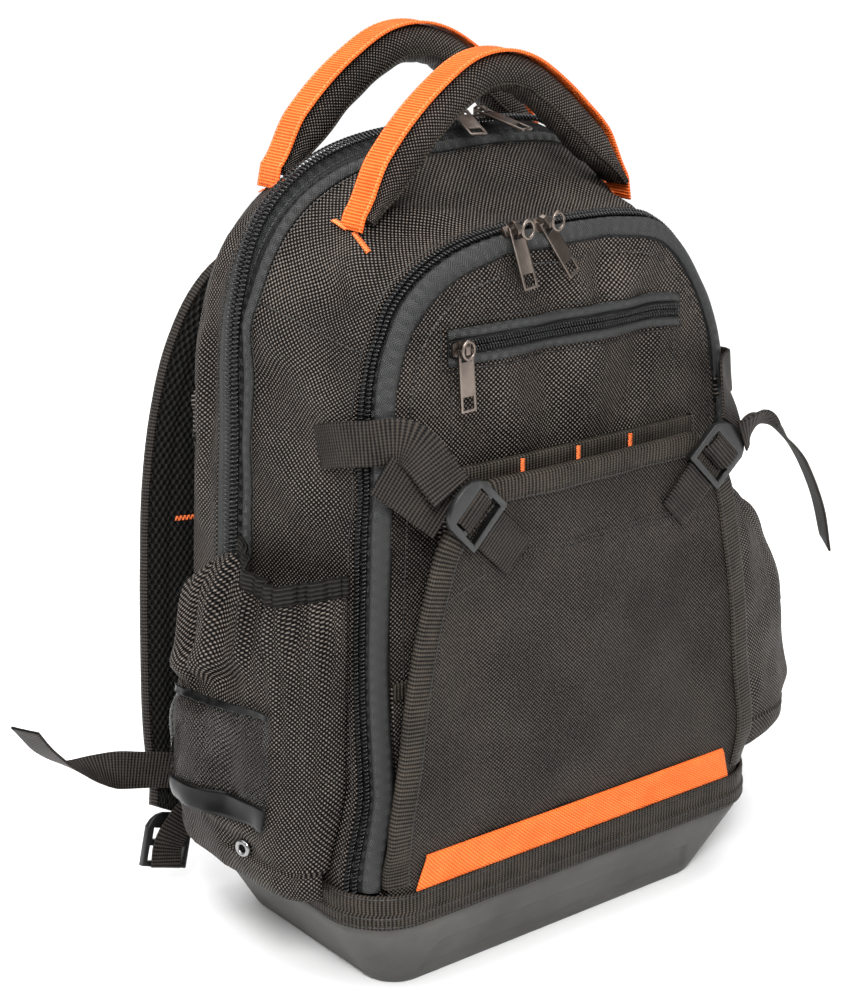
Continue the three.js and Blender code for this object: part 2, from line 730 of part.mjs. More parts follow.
// A strip that follows the arch: its section is a closed row of depths and insets
function archStrip(section, arcOf) {
  const lines = section.map(arcOf);
  return sweep(lines[0].map((_, i) => lines.map((line) => line[i])));
}

function mainZipGeometry() {
  const [tape, coil] = [ZIP_TAPE / 2, COIL_WIDTH / 2];
  const section = [
    { y: tape, inset: 0 },
    { y: coil + 1, inset: 0 },
    { y: coil, inset: -COIL_HEIGHT },
    { y: -coil, inset: -COIL_HEIGHT },
    { y: -coil - 1, inset: 0 },
    { y: -tape, inset: 0 },
    { y: -tape, inset: TAPE_THICKNESS },
    { y: tape, inset: TAPE_THICKNESS },
  ];
  return archStrip(section, ({ y, inset }) => arch(MAIN_ZIP_Y + y, inset, ZIP_LOW));
}

// The satin roll beside the main zip's coil
function mainPipingGeometry() {
  const middle = MAIN_ZIP_Y - ZIP_TAPE / 2 + 1;
  const half = PIPING_WIDTH / 2;
  const section = [
    { y: half, inset: -GAP - 0.3 },
    { y: half * 0.8, inset: -PIPING_HEIGHT * 0.75 },
    { y: 0, inset: -PIPING_HEIGHT },
    { y: -half * 0.8, inset: -PIPING_HEIGHT * 0.75 },
    { y: -half, inset: -GAP - 0.3 },
  ];
  return archStrip(section, ({ y, inset }) => arch(middle + y, inset, ZIP_LOW));
}

// The front zip turns round the front edge of the body
function frontCorner({ y, inset }, low = ZIP_LOW) {
  const set = FRONT_ZIP_Y - y;
  if (set < 0) return arch(y, inset, low);
  return arch(FRONT_ZIP_Y, inset, low).map((q) => q.setY(q.y - set));
}
function frontZipGeometry() {
  const tape = GUSSET_FRONT_Y;
  const section = [
    { y: tape, inset: 0 },
    { y: FRONT_ZIP_Y + COIL_WIDTH / 2 + 1, inset: 0 },
    { y: FRONT_ZIP_Y + COIL_WIDTH / 2, inset: -COIL_HEIGHT },
    { y: FRONT_ZIP_Y - 1, inset: 0.5 - COIL_HEIGHT },
    { y: FRONT_ZIP_Y - 3.2, inset: 1.5 },
    { y: FRONT_ZIP_Y - 3.4, inset: 3.5 },
    { y: PANEL_Y, inset: PANEL_INSET - GAP },
    { y: PANEL_Y + TAPE_THICKNESS, inset: PANEL_INSET - GAP },
    { y: FRONT_ZIP_Y - 1.4, inset: 3 },
    { y: FRONT_ZIP_Y + COIL_WIDTH / 2, inset: TAPE_THICKNESS },
    { y: tape, inset: TAPE_THICKNESS },
  ];
  return archStrip(section, (place) => frontCorner(place));
}
function frontPipingGeometry() {
  const middle = PANEL_INSET - 1.5;
  const half = PIPING_WIDTH / 2;
  const section = [
    { y: PANEL_Y + 0.6, inset: middle - half },
    { y: PANEL_Y - PIPING_HEIGHT * 0.7, inset: middle - half * 0.9 },
    { y: PANEL_Y - PIPING_HEIGHT, inset: middle },
    { y: PANEL_Y - PIPING_HEIGHT * 0.8, inset: middle + half * 0.8 },
    { y: PANEL_Y - 2, inset: middle + half * 0.9 },
    { y: PANEL_Y - 1.2, inset: middle },
  ];
  return archStrip(section, (place) => frontCorner(place, BAND_TOP + STRIPE_HEIGHT));
}

// The short zip across the front panel
const pocketZipFace = (x, z) => frontSeat(x, z) - GAP - 0.3;
function pocketZipGeometry() {
  const [tape, coil] = [POCKET_ZIP_TAPE / 2, COIL_WIDTH / 2];
  const section = [
    { up: tape, out: 0 },
    { up: tape, out: TAPE_THICKNESS },
    { up: coil + 1, out: TAPE_THICKNESS },
    { up: coil, out: COIL_HEIGHT + TAPE_THICKNESS / 2 },
    { up: -coil, out: COIL_HEIGHT + TAPE_THICKNESS / 2 },
    { up: -coil - 1, out: TAPE_THICKNESS },
    { up: -tape, out: TAPE_THICKNESS },
    { up: -tape, out: 0 },
  ];
  const half = POCKET_ZIP_WIDTH / 2;
  const rings = steps(-half, half, 8).map((x) =>
    section.map(({ up, out }) =>
      v3(x, pocketZipFace(x, POCKET_ZIP_Z + up) - out, POCKET_ZIP_Z + up),
    ),
  );
  return sweep(rings);
}

// The open tool pocket stands off the front panel, and its sides come back to the panel
const toolPocketOut = (z) => TOOL_POCKET_DEPTH * mix(0.25, 1, ease((z - HEM_Z) / FLARE_RISE));
const TOOL_POCKET_COLUMNS = [
  { aside: -1.035, out: 0 },
  { aside: -1.02, out: 0.6 },
  ...steps(-0.97, 0.97, 6).map((aside) => ({ aside, out: 1 })),
  { aside: 1.02, out: 0.6 },
  { aside: 1.035, out: 0 },
];
const TOOL_POCKET_STATIONS = [0, 0.09, 0.18, 0.36, 0.6, 0.8, 1];
function toolPocketPoint({ aside, out }, z) {
  const x = (aside * TOOL_POCKET_WIDTH) / 2;
  return v3(x, frontSeat(x, z) - GAP - 0.4 - CLOTH * (1 - out) - out * toolPocketOut(z), z);
}
function toolPocketGeometry() {
  const rows = TOOL_POCKET_STATIONS.map((share) => {
    const z = mix(HEM_Z, TOOL_POCKET_TOP, share);
    return TOOL_POCKET_COLUMNS.map((column) => toolPocketPoint(column, z));
  });
  return wall([rows.reverse()], CLOTH);
}
function toolPocketBindingGeometry() {
  const rings = steps(-0.95, 0.95, 8).map((aside) => {
    const at = (z, out) => {
      const q = toolPocketPoint({ aside, out: 1 }, TOOL_POCKET_TOP);
      return v3(q.x, q.y - out, z);
    };
    const [low, edge] = [TOOL_POCKET_TOP - BINDING_WIDTH, TOOL_POCKET_TOP + GAP];
    const top = edge + BINDING_THICKNESS;
    const [front, back] = [GAP + BINDING_THICKNESS, -CLOTH - GAP - BINDING_THICKNESS];
    return [
      at(low, front + 1),
      at(top, front),
      at(top, back),
      at(low + 4, back),
      at(low + 4, back + BINDING_THICKNESS),
      at(edge, back + BINDING_THICKNESS),
      at(edge, GAP),
      at(low, GAP + 1),
    ];
  });
  return sweep(rings);
}

// The flap's outer face: sewn in at the band, standing out towards its top
const flapRise = FLAP_TOP - BAND_TOP;
function flapY(x, z) {
  const up = (z - BAND_TOP) / flapRise;
  const half = (read(FLAP_ROWS, "up", up, "half") * FLAP_WIDTH) / 2;
  const crown = FLAP_CROWN * (1 - (x / half) ** 2) * ease(up * 4);
  const free = FLAP_FRONT_Y - FLAP_REACH * read(FLAP_ROWS, "up", up, "out") - crown;
  const sewn = baseFront(x) + 2 * GAP;
  return mix(sewn, free, ease((z - BAND_TOP) / (FLAP_WIDTH * 0.12)));
}
function flapGrid() {
  return FLAP_ROWS.map(({ up, half }) => {
    const z = BAND_TOP + up * flapRise;
    const reach = (half * FLAP_WIDTH) / 2;
    return steps(-reach, reach, FLAP_COLUMNS).map((x) => v3(x, flapY(x, z), z));
  });
}
const flapSeat = surfaceAt(flapGrid(), ["x", "z"], "y");
const flapGeometry = () => wall([flapGrid().reverse()], CLOTH);

// Webbing folded over the flap's free edge: up one side, across the top and down the other
function flapBindingGeometry() {
  const rows = FLAP_ROWS.filter(({ up }) => up > 0);
  const edge = rows.map(({ up, half }) =>
    new THREE.Vector2((-half * FLAP_WIDTH) / 2, BAND_TOP + up * flapRise),
  );
  const top = edge.at(-1);
  const line = [...edge, ...[-0.5, 0, 0.5].map((k) => new THREE.Vector2(-top.x * k, top.y))];
  for (const q of [...edge].reverse()) line.push(new THREE.Vector2(-q.x, q.y));
  const section = [
    { inset: BINDING_WIDTH, out: 4 * GAP },
    { inset: BINDING_WIDTH, out: 4 * GAP + BINDING_THICKNESS },
    { inset: -2 * GAP - BINDING_THICKNESS, out: 2 * GAP + BINDING_THICKNESS },
    { inset: -2 * GAP - BINDING_THICKNESS, out: -CLOTH - GAP - BINDING_THICKNESS - 0.2 },
    { inset: BINDING_WIDTH * 0.6, out: -CLOTH - GAP - BINDING_THICKNESS - 0.2 },
    { inset: BINDING_WIDTH * 0.6, out: -CLOTH - GAP - 0.5 },
    { inset: -2 * GAP, out: -CLOTH - GAP - 0.5 },
    { inset: -2 * GAP, out: 2 * GAP },
  ];
  const rings = line.map((q, i) => {
    const before = line[Math.max(i - 1, 0)];
    const after = line[Math.min(i + 1, line.length - 1)];
    const into = q.clone().sub(before).normalize();
    const away = after.clone().sub(q).normalize();
    const along = i === 0 ? away : i === line.length - 1 ? into : into.add(away).normalize();
    const inward = new THREE.Vector2(along.y, -along.x);
    return section.map(({ inset, out }) => {
      const p = q.clone().addScaledVector(inward, inset);
      const held = q.clone().addScaledVector(inward, Math.max(inset, 0));
      return v3(p.x, flapSeat(held.x, held.y) - out, p.y);
    });
  });
  return sweep(rings);
}

function stripeGeometry() {
  const rows = [0, 0.26, 0.5, 1].map((up) => {
    const half = STRIPE_WIDTH / 2 - STRIPE_TAPER * up;
    const z = BAND_TOP + GAP + STRIPE_HEIGHT * up;
    const out = STRIPE_THICKNESS + 5 * GAP;
    return steps(-half, half, 10).map((x) => v3(x, flapSeat(x, z) - out, z));
  });
  return wall([rows.reverse()], STRIPE_THICKNESS);
}

// Room that the pocket's cloth leaves over the body: more where it passes over the main zip
function pocketRoom(y) {
  const over = ease(1 - (Math.abs(y - MAIN_ZIP_Y + 2) - ZIP_TAPE / 2 - 3) / 12);
  return CLOTH + 1.6 + (PIPING_HEIGHT + 1) * over;
}

// The outer face of a left side pocket, from its bottom up and from its front seam to its back
function pocketGrid(reach) {
  const band = TRAY_WIDTH / 2 + BAND_THICKNESS + BAND_STEP + CLOTH + 1;
  const rows = POCKET_ROWS.map(({ down, full, square, gather }) =>
    steps(0, 1, POCKET_COLUMNS).map((t) => {
      const s = mix(t, 0.5 - 0.5 * Math.cos(Math.PI * t), 0.6);
      const y = mix(POCKET_FRONT_Y, POCKET_BACK_Y, s);
      const rim = POCKET_LOW + POCKET_HEIGHT * read(POCKET_RIM, "along", s, "height");
      const z = mix(rim, POCKET_LOW, down);
      const section = (1 - Math.abs(2 * s - 1) ** square) ** 0.6;
      const open = down < 0.5 ? read(POCKET_RIM, "along", s, "reach") * POCKET_RIM_REACH : 0;
      const wave = Math.cos(2 * Math.PI * GATHER_COUNT * t) * section ** 0.5;
      const out = mix(open, reach * section, full) + GATHER_DEPTH * gather * Math.max(wave, -0.6);
      const room = down > 0.9 ? Math.max(halfAt(y, z) + pocketRoom(y), band) : halfAt(y, z) + pocketRoom(y);
      return v3(-room - Math.max(out, 0), y, z);
    }),
  );
  return rows.reverse();
}

// The clear label window, tilted on the pocket's face
function labelGeometry() {
  const side = surfaceAt(pocketGrid(POCKET_REACH_LEFT), ["y", "z"], "x");
  const [c, k] = [Math.cos(radians(LABEL_TILT)), Math.sin(radians(LABEL_TILT))];
  const grid = steps(-0.5, 0.5, 5).map((v) =>
    steps(-0.5, 0.5, 7).map((u) => {
      const [p, q] = [u * LABEL_WIDTH, v * LABEL_HEIGHT];
      const [y, z] = [LABEL_Y + p * c + q * k, LABEL_Z - p * k + q * c];
      return v3(side(y, z) - LABEL_THICKNESS - LABEL_ROOM, y, z);
    }),
  );
  return wall([grid], LABEL_THICKNESS);
}

// Place and outward direction of the eyelet on a pocket's face
function eyeletPlace(reach) {
  const grid = pocketGrid(reach);
  const side = surfaceAt(grid, ["y", "z"], "x");
  const at = (y, z) => v3(side(y, z), y, z);
  const [y, z] = [EYELET_Y, POCKET_LOW + EYELET_UP];
  const rise = at(y, z + 4).sub(at(y, z - 4));
  const run = at(y + 4, z).sub(at(y - 4, z));
  return { centre: at(y, z), out: rise.cross(run).normalize() };
}
function pocketGeometry(reach) {
  const pocket = wall([pocketGrid(reach)], CLOTH);
  const { centre, out } = eyeletPlace(reach);
  const drill = new THREE.CylinderGeometry(EYELET_HOLE / 2, EYELET_HOLE / 2, 8 * CLOTH, 8);
  drill.applyQuaternion(new THREE.Quaternion().setFromUnitVectors(v3(0, 1, 0), out));
  return cut(pocket, drill.translate(centre.x, centre.y, centre.z));
}
function eyeletGeometry(reach) {
  const [hole, rim] = [EYELET_HOLE / 2 + GAP, EYELET_DIAMETER / 2];
  const profile = [[hole, 0], [rim, 0], [rim - 0.6, 0.9], [hole + 0.6, 1.1], [hole, 0]];
  const ring = new THREE.LatheGeometry(profile.map(([r, h]) => new THREE.Vector2(r, h)), 12);
  const { centre, out } = eyeletPlace(reach);
  ring.applyQuaternion(new THREE.Quaternion().setFromUnitVectors(v3(0, 1, 0), out));
  const seat = centre.clone().addScaledVector(out, 2 * GAP);
  return facingOut(solidGeometry(ring.translate(seat.x, seat.y, seat.z)));
}
// A lathe or extrusion with its shared points merged
function solidGeometry(geometry) {
  const bare = geometry.index ? geometry.toNonIndexed() : geometry;
  const p = bare.getAttribute("position");
  return fromTriangles([...Array(p.count).keys()].map((i) => v3().fromBufferAttribute(p, i)));
}

// The elastic cuff stands on the open part of the pocket's rim
function cuffGeometry(reach) {
  const rim = pocketGrid(reach).at(-1);
  const last = mix(POCKET_FRONT_Y, POCKET_BACK_Y, POCKET_SEAM_SHARE);
  const open = rim.filter((q) => q.y < last);
  const rings = open.map((q, j) => {
    const before = open[Math.max(j - 1, 0)];
    const after = open[Math.min(j + 1, open.length - 1)];
    const along = after.clone().sub(before).setZ(0).normalize();
    const out = v3(-along.y, along.x, 0);
    const corner = (o, up) => q.clone().addScaledVector(out, o).add(v3(0, 0, up + GAP + 0.2));
    const [near, far] = [-CLOTH, CUFF_THICKNESS - CLOTH];
    return [corner(near, 0), corner(far, 0), corner(far, CUFF_HEIGHT), corner(near, CUFF_HEIGHT)];
  });
  return sweep(rings);
}

// The frame of a ladder-lock buckle on the flap's left corner: x along the strap, y across it
function buckleFrame() {
  const along = v3(1, 0.12, -1).normalize();
  const across = v3(1, 0, 1).normalize();
  const seat = flapY(-BUCKLE_X + 4, BUCKLE_Z - 4);
  const centre = v3(-BUCKLE_X, seat - BUCKLE_THICKNESS / 2 - 4.6, BUCKLE_Z);
  return frameAt(centre, along, across);
}
function buckleGeometry() {
  const [length, width] = [BUCKLE_LENGTH / 2, BUCKLE_WIDTH / 2];
  const outline = new THREE.Shape();
  outline.moveTo(length, -width);
  outline.lineTo(length, width);
  outline.lineTo(-length * 0.45, width);
  outline.quadraticCurveTo(-length * 1.05, width * 0.75, -length, 0);
  outline.quadraticCurveTo(-length * 1.05, -width * 0.75, -length * 0.45, -width);
  const inner = width - BUCKLE_FRAME;
  const bar = [-2, 2].map((k) => length * 0.12 + k);
  const slots = [
    rectangle(-length * 0.42, 1 - inner, bar[0], inner - 1),
    rectangle(bar[1], -inner, length - BUCKLE_BAR + 0.5, inner),
  ];
  return plate(outline, slots, BUCKLE_THICKNESS);
}

// Stations of the compression strap from its sewn end to the buckle
function strapStations() {
  const buckle = buckleFrame();
  const end = v3(-BUCKLE_LENGTH / 2 - 1, 0, -BUCKLE_THICKNESS / 2 - 1.4).applyMatrix4(buckle);
  const across = v3().setFromMatrixColumn(buckle, 1);
  const out = WEBBING / 2 + GAP + 1.2;
  const sewn = v3(-halfAt(STRAP_SEW_Y, STRAP_Z) - out, STRAP_SEW_Y, STRAP_Z);
  const bend = v3(-halfAt(FRONT_ZIP_Y, STRAP_Z) - COIL_HEIGHT - 5, FRONT_ZIP_Y - 3, STRAP_Z + 9);
  const over = v3(end.x * 0.55 + bend.x * 0.45, mix(bend.y, end.y, 0.42), STRAP_Z + 9);
  return [
    { at: sewn, across: v3(0, 0.1, 1) },
    { at: v3(sewn.x - 0.6, mix(sewn.y, bend.y, 0.55), STRAP_Z + 6), across: v3(0, 0.05, 1) },
    { at: bend, across: v3(0.1, 0, 1) },
    { at: over, across: v3(0.35, 0, 0.9) },
    { at: end, across },
  ];
}
const strapGeometry = () => webbing(smoothStations(strapStations(), 12), WEBBING_WIDTH, WEBBING);

// The tab that holds the buckle: round its last bar and flat on the flap
function tabGeometry() {
  const buckle = buckleFrame();
  const across = v3().setFromMatrixColumn(buckle, 1);
  const start = v3(BUCKLE_LENGTH / 2 + 0.6, 0, -1).applyMatrix4(buckle);
  const onFlap = (share) => {
    const x = start.x + TAB_LENGTH * 0.7 * share;
    const z = start.z - TAB_LENGTH * 0.7 * share;
    return v3(x, flapY(x, z) - WEBBING - 1.6, z);
  };
  const stations = [start, onFlap(0.5), onFlap(1)].map((at) => ({ at, across }));
  return webbing(stations, WEBBING_WIDTH - 1, 2 * WEBBING);
}

// Free tails of the compression straps: the right one arcs out, the left one lies under its strap
const RIGHT_TAIL = [
  { x: 106, y: -137.4, z: 302, across: [0.6, 0.1, -0.7] },
  { x: 115, y: -137.6, z: 306.4, across: [0.6, 0.42, -0.45] },
  { x: 133, y: -128, z: 304, across: [0.4, 0.9, -0.1] },
  { x: 160, y: -113, z: 292, across: [0.4, 0.9, 0.1] },
  { x: 191, y: -105, z: 268, across: [0.4, 0.9, 0.1] },
  { x: 211, y: -105, z: 234, across: [0.45, 0.9, 0.15] },
  { x: 221, y: -105, z: 203, across: [0.5, 0.85, 0.25] },
];
const LEFT_TAIL = [
  { x: -106, y: -123, z: 290, across: [0.7, 0, 0.7] },
  { x: -116, y: -116.8, z: 298.6, across: [0.6, 0, 0.8] },
  { x: -127, y: -111.5, z: 306.2, across: [0.5, 0, 0.85] },
  { x: -136, y: -108.8, z: 311.2, across: [0.4, 0, 0.9] },
];
function tailGeometry(rows, count) {
  const stations = rows.map(({ x, y, z, across }) => ({ at: v3(x, y, z), across: v3(...across) }));
  return webbing(smoothStations(stations, count), WEBBING_WIDTH - 1, WEBBING);
}

// Height of the skin's top at a distance aside and a depth
function topZ(x, y, inset = 0) {
  const line = arch(y, inset).slice(sideCount);
  const next = line.findIndex((q) => q.x > x);
  const [a, b] = [line[next - 1], line[next]];
  return mix(a.z, b.z, (x - a.x) / (b.x - a.x));
}

// Middle line of a carry handle's padding, with its upward direction across the line
function handleLine({ y, span, top, seat }) {
  const edge = y + (HANDLE_DEPTH / 2) * 0.8 * Math.sign(MAIN_ZIP_Y - y);
  const foot = (side) => topZ(HANDLE_SHIFT + (side * span) / 2, edge) + seat;
  const apex = TRAY_HEIGHT + BODY_HEIGHT + top;
  const points = HANDLE_ARC.map(({ along, up }) =>
    v3(HANDLE_SHIFT + (along * span) / 2, y, mix(foot(Math.sign(along)), apex, up)),
  );
  const curve = new THREE.CatmullRomCurve3(points);
  return steps(0, 1, 16).map((t) => {
    const tangent = curve.getTangent(t);
    return { at: curve.getPoint(t), up: v3(-tangent.z, 0, tangent.x), t };
  });
}
function handleGeometry(handle) {
  const rings = handleLine(handle).map(({ at, up, t }) => {
    const full = mix(0.3, 1, ease(Math.min(t, 1 - t) * 7));
    return steps(0, 324, 9).map((degrees) => {
      const [c, s] = [Math.cos(radians(degrees)), Math.sin(radians(degrees))];
      const height = (HANDLE_THICKNESS / 2) * full * s;
      return at.clone().addScaledVector(up, height).add(v3(0, (HANDLE_DEPTH / 2) * c, 0));
    });
  });
  return sweep(rings);
}
function handleWebGeometry(handle) {
  const stations = handleLine(handle).map(({ at, up, t }) => {
    const full = mix(0.3, 1, ease(Math.min(t, 1 - t) * 7));
    const lift = (HANDLE_THICKNESS / 2) * full + WEBBING / 2 + GAP + 0.2;
    return { at: at.clone().addScaledVector(up, lift), across: v3(0, 1, 0) };
  });
  return webbing(stations, HANDLE_WEB_WIDTH, WEBBING);
}

// A padded panel on the back: flat against it, rounded towards its edges
function padGeometry(width, low, height, thickness) {
  const across = [-1, -0.9, -0.6, -0.2, 0, 0.2, 0.6, 0.9, 1];
  const up = [0, 0.06, 0.3, 0.7, 0.94, 1];
  const grid = up.map((t) =>
    across.map((s) => {
      const x = (s * width) / 2;
      const z = low + height * t;
      const edge = Math.min(((1 - Math.abs(s)) * width) / 2, Math.min(t, 1 - t) * height);
      const round = mix(0.35, 1, ease(edge / PAD_EDGE));
      const channel = Math.abs(s) < 0.1 ? 0.55 : 1;
      return { x, z, out: thickness * round * channel };
    }),
  );
  const face = (out) => grid.map((row) =>
    row.map((c) => v3(c.x, backSeat(c.x, c.z) + SEAM_GAP + (out ? c.out : 0), c.z)),
  );
  return facingOut(closed(face(true), face(false)));
}

// A closed solid between two grids
function closed(front, back) {
  const border = (grid) => [
    ...grid[0],
    ...grid.slice(1).map((row) => row.at(-1)),
    ...[...grid.at(-1)].reverse().slice(1),
    ...[...grid].reverse().slice(1).map((row) => row[0]),
  ];
  const triangles = [
    ...gridTriangles(front),
    ...gridTriangles(back.map((row) => [...row].reverse())),
    ...gridTriangles([border(back), border(front)]),
  ];
  return fromTriangles(triangles);
}

// Route of the left shoulder strap
function harnessStations() {
  return HARNESS_ROWS.map(({ up, aside, out, width }) => {
    const z = HARNESS_LOW + HARNESS_LENGTH * up;
    const x = -HARNESS_SPREAD * aside;
    const back = up === 1 ? backSeat(x, z) + HARNESS_SEAT : BACK_Y + SHOULDER_THICKNESS / 2;
    return { at: v3(x, back + HARNESS_DEPTH * out, z), width: SHOULDER_WIDTH * width };
  });
}
function shoulderStrapGeometry(offset, share, thickness, from = 0) {
  const stations = harnessStations();
  const path = new THREE.CatmullRomCurve3(stations.map((s) => s.at));
  const rings = steps(from, 1, 14).map((t) => {
    const at = path.getPoint(t);
    const along = path.getTangent(t);
    const width = readEven(stations.map((s) => s.width), t) * share;
    const across = v3(along.z, 0, -along.x).normalize();
    if (across.x > 0) across.negate();
    const face = along.clone().cross(across).normalize();
    if (face.y < 0) face.negate();
    const corner = (s, f) =>
      at.clone().addScaledVector(across, (s * width) / 2).addScaledVector(face, f + offset);
    const half = thickness / 2;
    return [
      corner(-1, -half * 0.3),
      corner(-0.82, -half),
      corner(0.82, -half),
      corner(1, -half * 0.3),
      corner(1, half * 0.3),
      corner(0.82, half),
      corner(-0.82, half),
      corner(-1, half * 0.3),
    ];
  });
  return sweep(rings);
}
// Reads a list of values at a share of its length
function readEven(values, t) {
  const place = t * (values.length - 1);
  const low = Math.min(Math.floor(place), values.length - 2);
  return mix(values[low], values[low + 1], place - low);
}

// The ladder lock at the foot of a shoulder strap, and the webbing that ties it to the body
function harnessFoot() {
  const stations = harnessStations();
  const end = stations.at(-1).at;
  const before = stations.at(-3).at;
  const along = end.clone().sub(before).normalize();
  return { end, along, across: v3(1, 0, along.x / -along.z).normalize() };
}
function shoulderBuckleFrame() {
  const { end, along, across } = harnessFoot();
  const centre = end.clone().addScaledVector(along, BUCKLE_LENGTH / 2 + 3.5 * GAP);
  return frameAt(centre, along, across);
}
function anchorGeometry() {
  const lock = shoulderBuckleFrame();
  const across = v3().setFromMatrixColumn(lock, 1);
  const behind = BUCKLE_THICKNESS / 2 + WEBBING / 2 + GAP + 0.3;
  const low = v3(BUCKLE_LENGTH / 2, 0, behind).applyMatrix4(lock);
  const high = v3(0, 0, behind).applyMatrix4(lock);
  const seat = v3(-baseHalf(BACK_Y) + 16, BACK_Y + 2.6, BAND_TOP + 17);
  const stations = [low, high, high.clone().lerp(seat, 0.6).add(v3(0, 5, 0)), seat];
  return webbing(smoothStations(stations.map((at) => ({ at, across })), 8), WEBBING_WIDTH - 3, WEBBING);
}

// Free end of the waist strap on the left
function waistGeometry() {
  const start = v3(-halfAt(BACK_Y, WAIST_Z) - 0.4, BACK_Y + 2.4, WAIST_Z);
  const stations = WAIST_ROWS.map(({ out, up, back, turn }) => ({
    at: start.clone().add(v3(-out * WAIST_LENGTH, back * WAIST_LENGTH, up * WAIST_LENGTH)),
    across: v3(0, Math.sin(radians(turn)), Math.cos(radians(turn))),
  }));
  return webbing(smoothStations(stations, 14), WEBBING_WIDTH - 2, WEBBING);
}

// Zip slider: a body with a bridge, turned towards the side where its pull hangs
function sliderGeometry(turn) {
  const [length, width] = [SLIDER_LENGTH / 2, SLIDER_WIDTH / 2];
  const body = [
    [-length, -width * 0.6],
    [length * 0.3, -width],
    [length, -width * 0.75],
    [length, width * 0.75],
    [length * 0.3, width],
    [-length, width * 0.6],
  ].map(([x, y]) => new THREE.Vector2(x, y));
  const base = plate(body, [], SLIDER_HEIGHT).translate(0, 0, SLIDER_HEIGHT / 2);
  const [reach, low, top] = [BRIDGE_LENGTH / 2, SLIDER_HEIGHT, SLIDER_HEIGHT + BRIDGE_HEIGHT];
  const side = [
    [-reach, low - 0.5],
    [-reach, top - 1.5],
    [-reach * 0.5, top],
    [reach * 0.5, top],
    [reach, top - 1.5],
    [reach, low - 0.5],
  ].map(([x, z]) => new THREE.Vector2(x, z));
  const hole = rectangle(1.3 - reach, low + 0.4, reach - 1.3, top - 1.3);
  const bridge = plate(side.reverse(), [hole], BRIDGE_WIDTH).rotateX(Math.PI / 2).rotateZ(turn);
  return join(base, bridge);
}
// Zip pull: an eye above, a plate and a window at its foot
function pullGeometry() {
  const half = PULL_WIDTH / 2;
  const inner = half - PULL_FRAME;
  const window = rectangle(-inner, -PULL_LENGTH + PULL_FRAME, inner, PULL_WINDOW + PULL_FRAME - PULL_LENGTH);
  const eye = rectangle(-inner, -PULL_EYE, inner, -PULL_FRAME);
  return plate(rectangle(-half, -PULL_LENGTH, half, 0), [window, eye], PULL_THICKNESS);
}

// A slider lies on its zip and its pull hangs from the bridge
function addZipPull(name, { at, along, out, hang }) {
  const slider = new THREE.Group();
  slider.applyMatrix4(frameAt(at, along, out.clone().cross(along)));
  backpack.add(slider);
  const side = out.clone().cross(along);
  const turn = Math.atan2(hang.dot(side), hang.dot(along));
  add(name + "_slider", sliderGeometry(turn), gunmetal(), slider);
  const eye = v3(0, 0, SLIDER_HEIGHT + BRIDGE_HEIGHT - 2.6).applyMatrix4(slider.matrix);
  const across = hang.clone().cross(out).normalize();
  const pull = new THREE.Group();
  const down = hang.clone().normalize();
  const top = eye.clone().addScaledVector(down, -PULL_FRAME / 2);
  pull.applyMatrix4(frameAt(top, across, down.clone().negate()));
  backpack.add(pull);
  add(name + "_pull", pullGeometry(), gunmetal(), pull);
}

// The two sides of the pack
const SIDES = [
  { name: "left", turn: (g) => g, pocketReach: POCKET_REACH_LEFT },
  { name: "right", turn: mirrored, pocketReach: POCKET_REACH_RIGHT },
];

add("base_tray", trayGeometry(), mouldedBase());
add("base_band", bandGeometry(), darkWebbing());
add("rear_shell", rearShellGeometry(), ballisticNylon());
add("middle_shell", middleShellGeometry(), ballisticNylon());
add("front_shell", frontShellGeometry(), ballisticNylon());
add("main_zip", mainZipGeometry(), zipTape());
add("main_piping", mainPipingGeometry(), satinBinding());
add("front_zip", frontZipGeometry(), zipTape());
add("front_piping", frontPipingGeometry(), satinBinding());
add("pocket_zip", pocketZipGeometry(), zipTape());
add("tool_pocket", toolPocketGeometry(), ballisticNylon());
add("tool_pocket_binding", toolPocketBindingGeometry(), darkWebbing());
add("front_flap", flapGeometry(), ballisticNylon());
add("flap_binding", flapBindingGeometry(), darkWebbing());
add("orange_stripe", stripeGeometry(), orangeWebbing());

for (const { name, turn, pocketReach } of SIDES) {
  add("side_pocket_" + name, turn(pocketGeometry(pocketReach)), ballisticNylon());
  add("pocket_cuff_" + name, turn(cuffGeometry(pocketReach)), satinBinding());
  add("eyelet_" + name, turn(eyeletGeometry(pocketReach)), gunmetal());
  add("compression_strap_" + name, turn(strapGeometry()), darkWebbing());
  add("buckle_tab_" + name, turn(tabGeometry()), darkWebbing());
  add("shoulder_strap_" + name, turn(shoulderStrapGeometry(0, 1, SHOULDER_THICKNESS)), spacerMesh());
  const web = shoulderStrapGeometry(SHOULDER_THICKNESS / 2 + WEBBING / 2 + 0.6, 0.36, WEBBING, 0.3);
  add("shoulder_web_" + name, turn(web), darkWebbing());
  add("shoulder_anchor_" + name, turn(anchorGeometry()), darkWebbing());
  add("waist_strap_" + name, turn(waistGeometry()), darkWebbing());
  const buckle = solidGeometry(buckleGeometry().applyMatrix4(buckleFrame()));
  add("buckle_" + name, turn(buckle), blackPlastic());
  const lock = solidGeometry(buckleGeometry().applyMatrix4(shoulderBuckleFrame()));
  add("shoulder_buckle_" + name, turn(lock), blackPlastic());
}
add("label_window", labelGeometry(), clearSheet());
add("strap_tail_left", tailGeometry(LEFT_TAIL, 6), darkWebbing());
add("strap_tail_right", tailGeometry(RIGHT_TAIL, 14), darkWebbing());

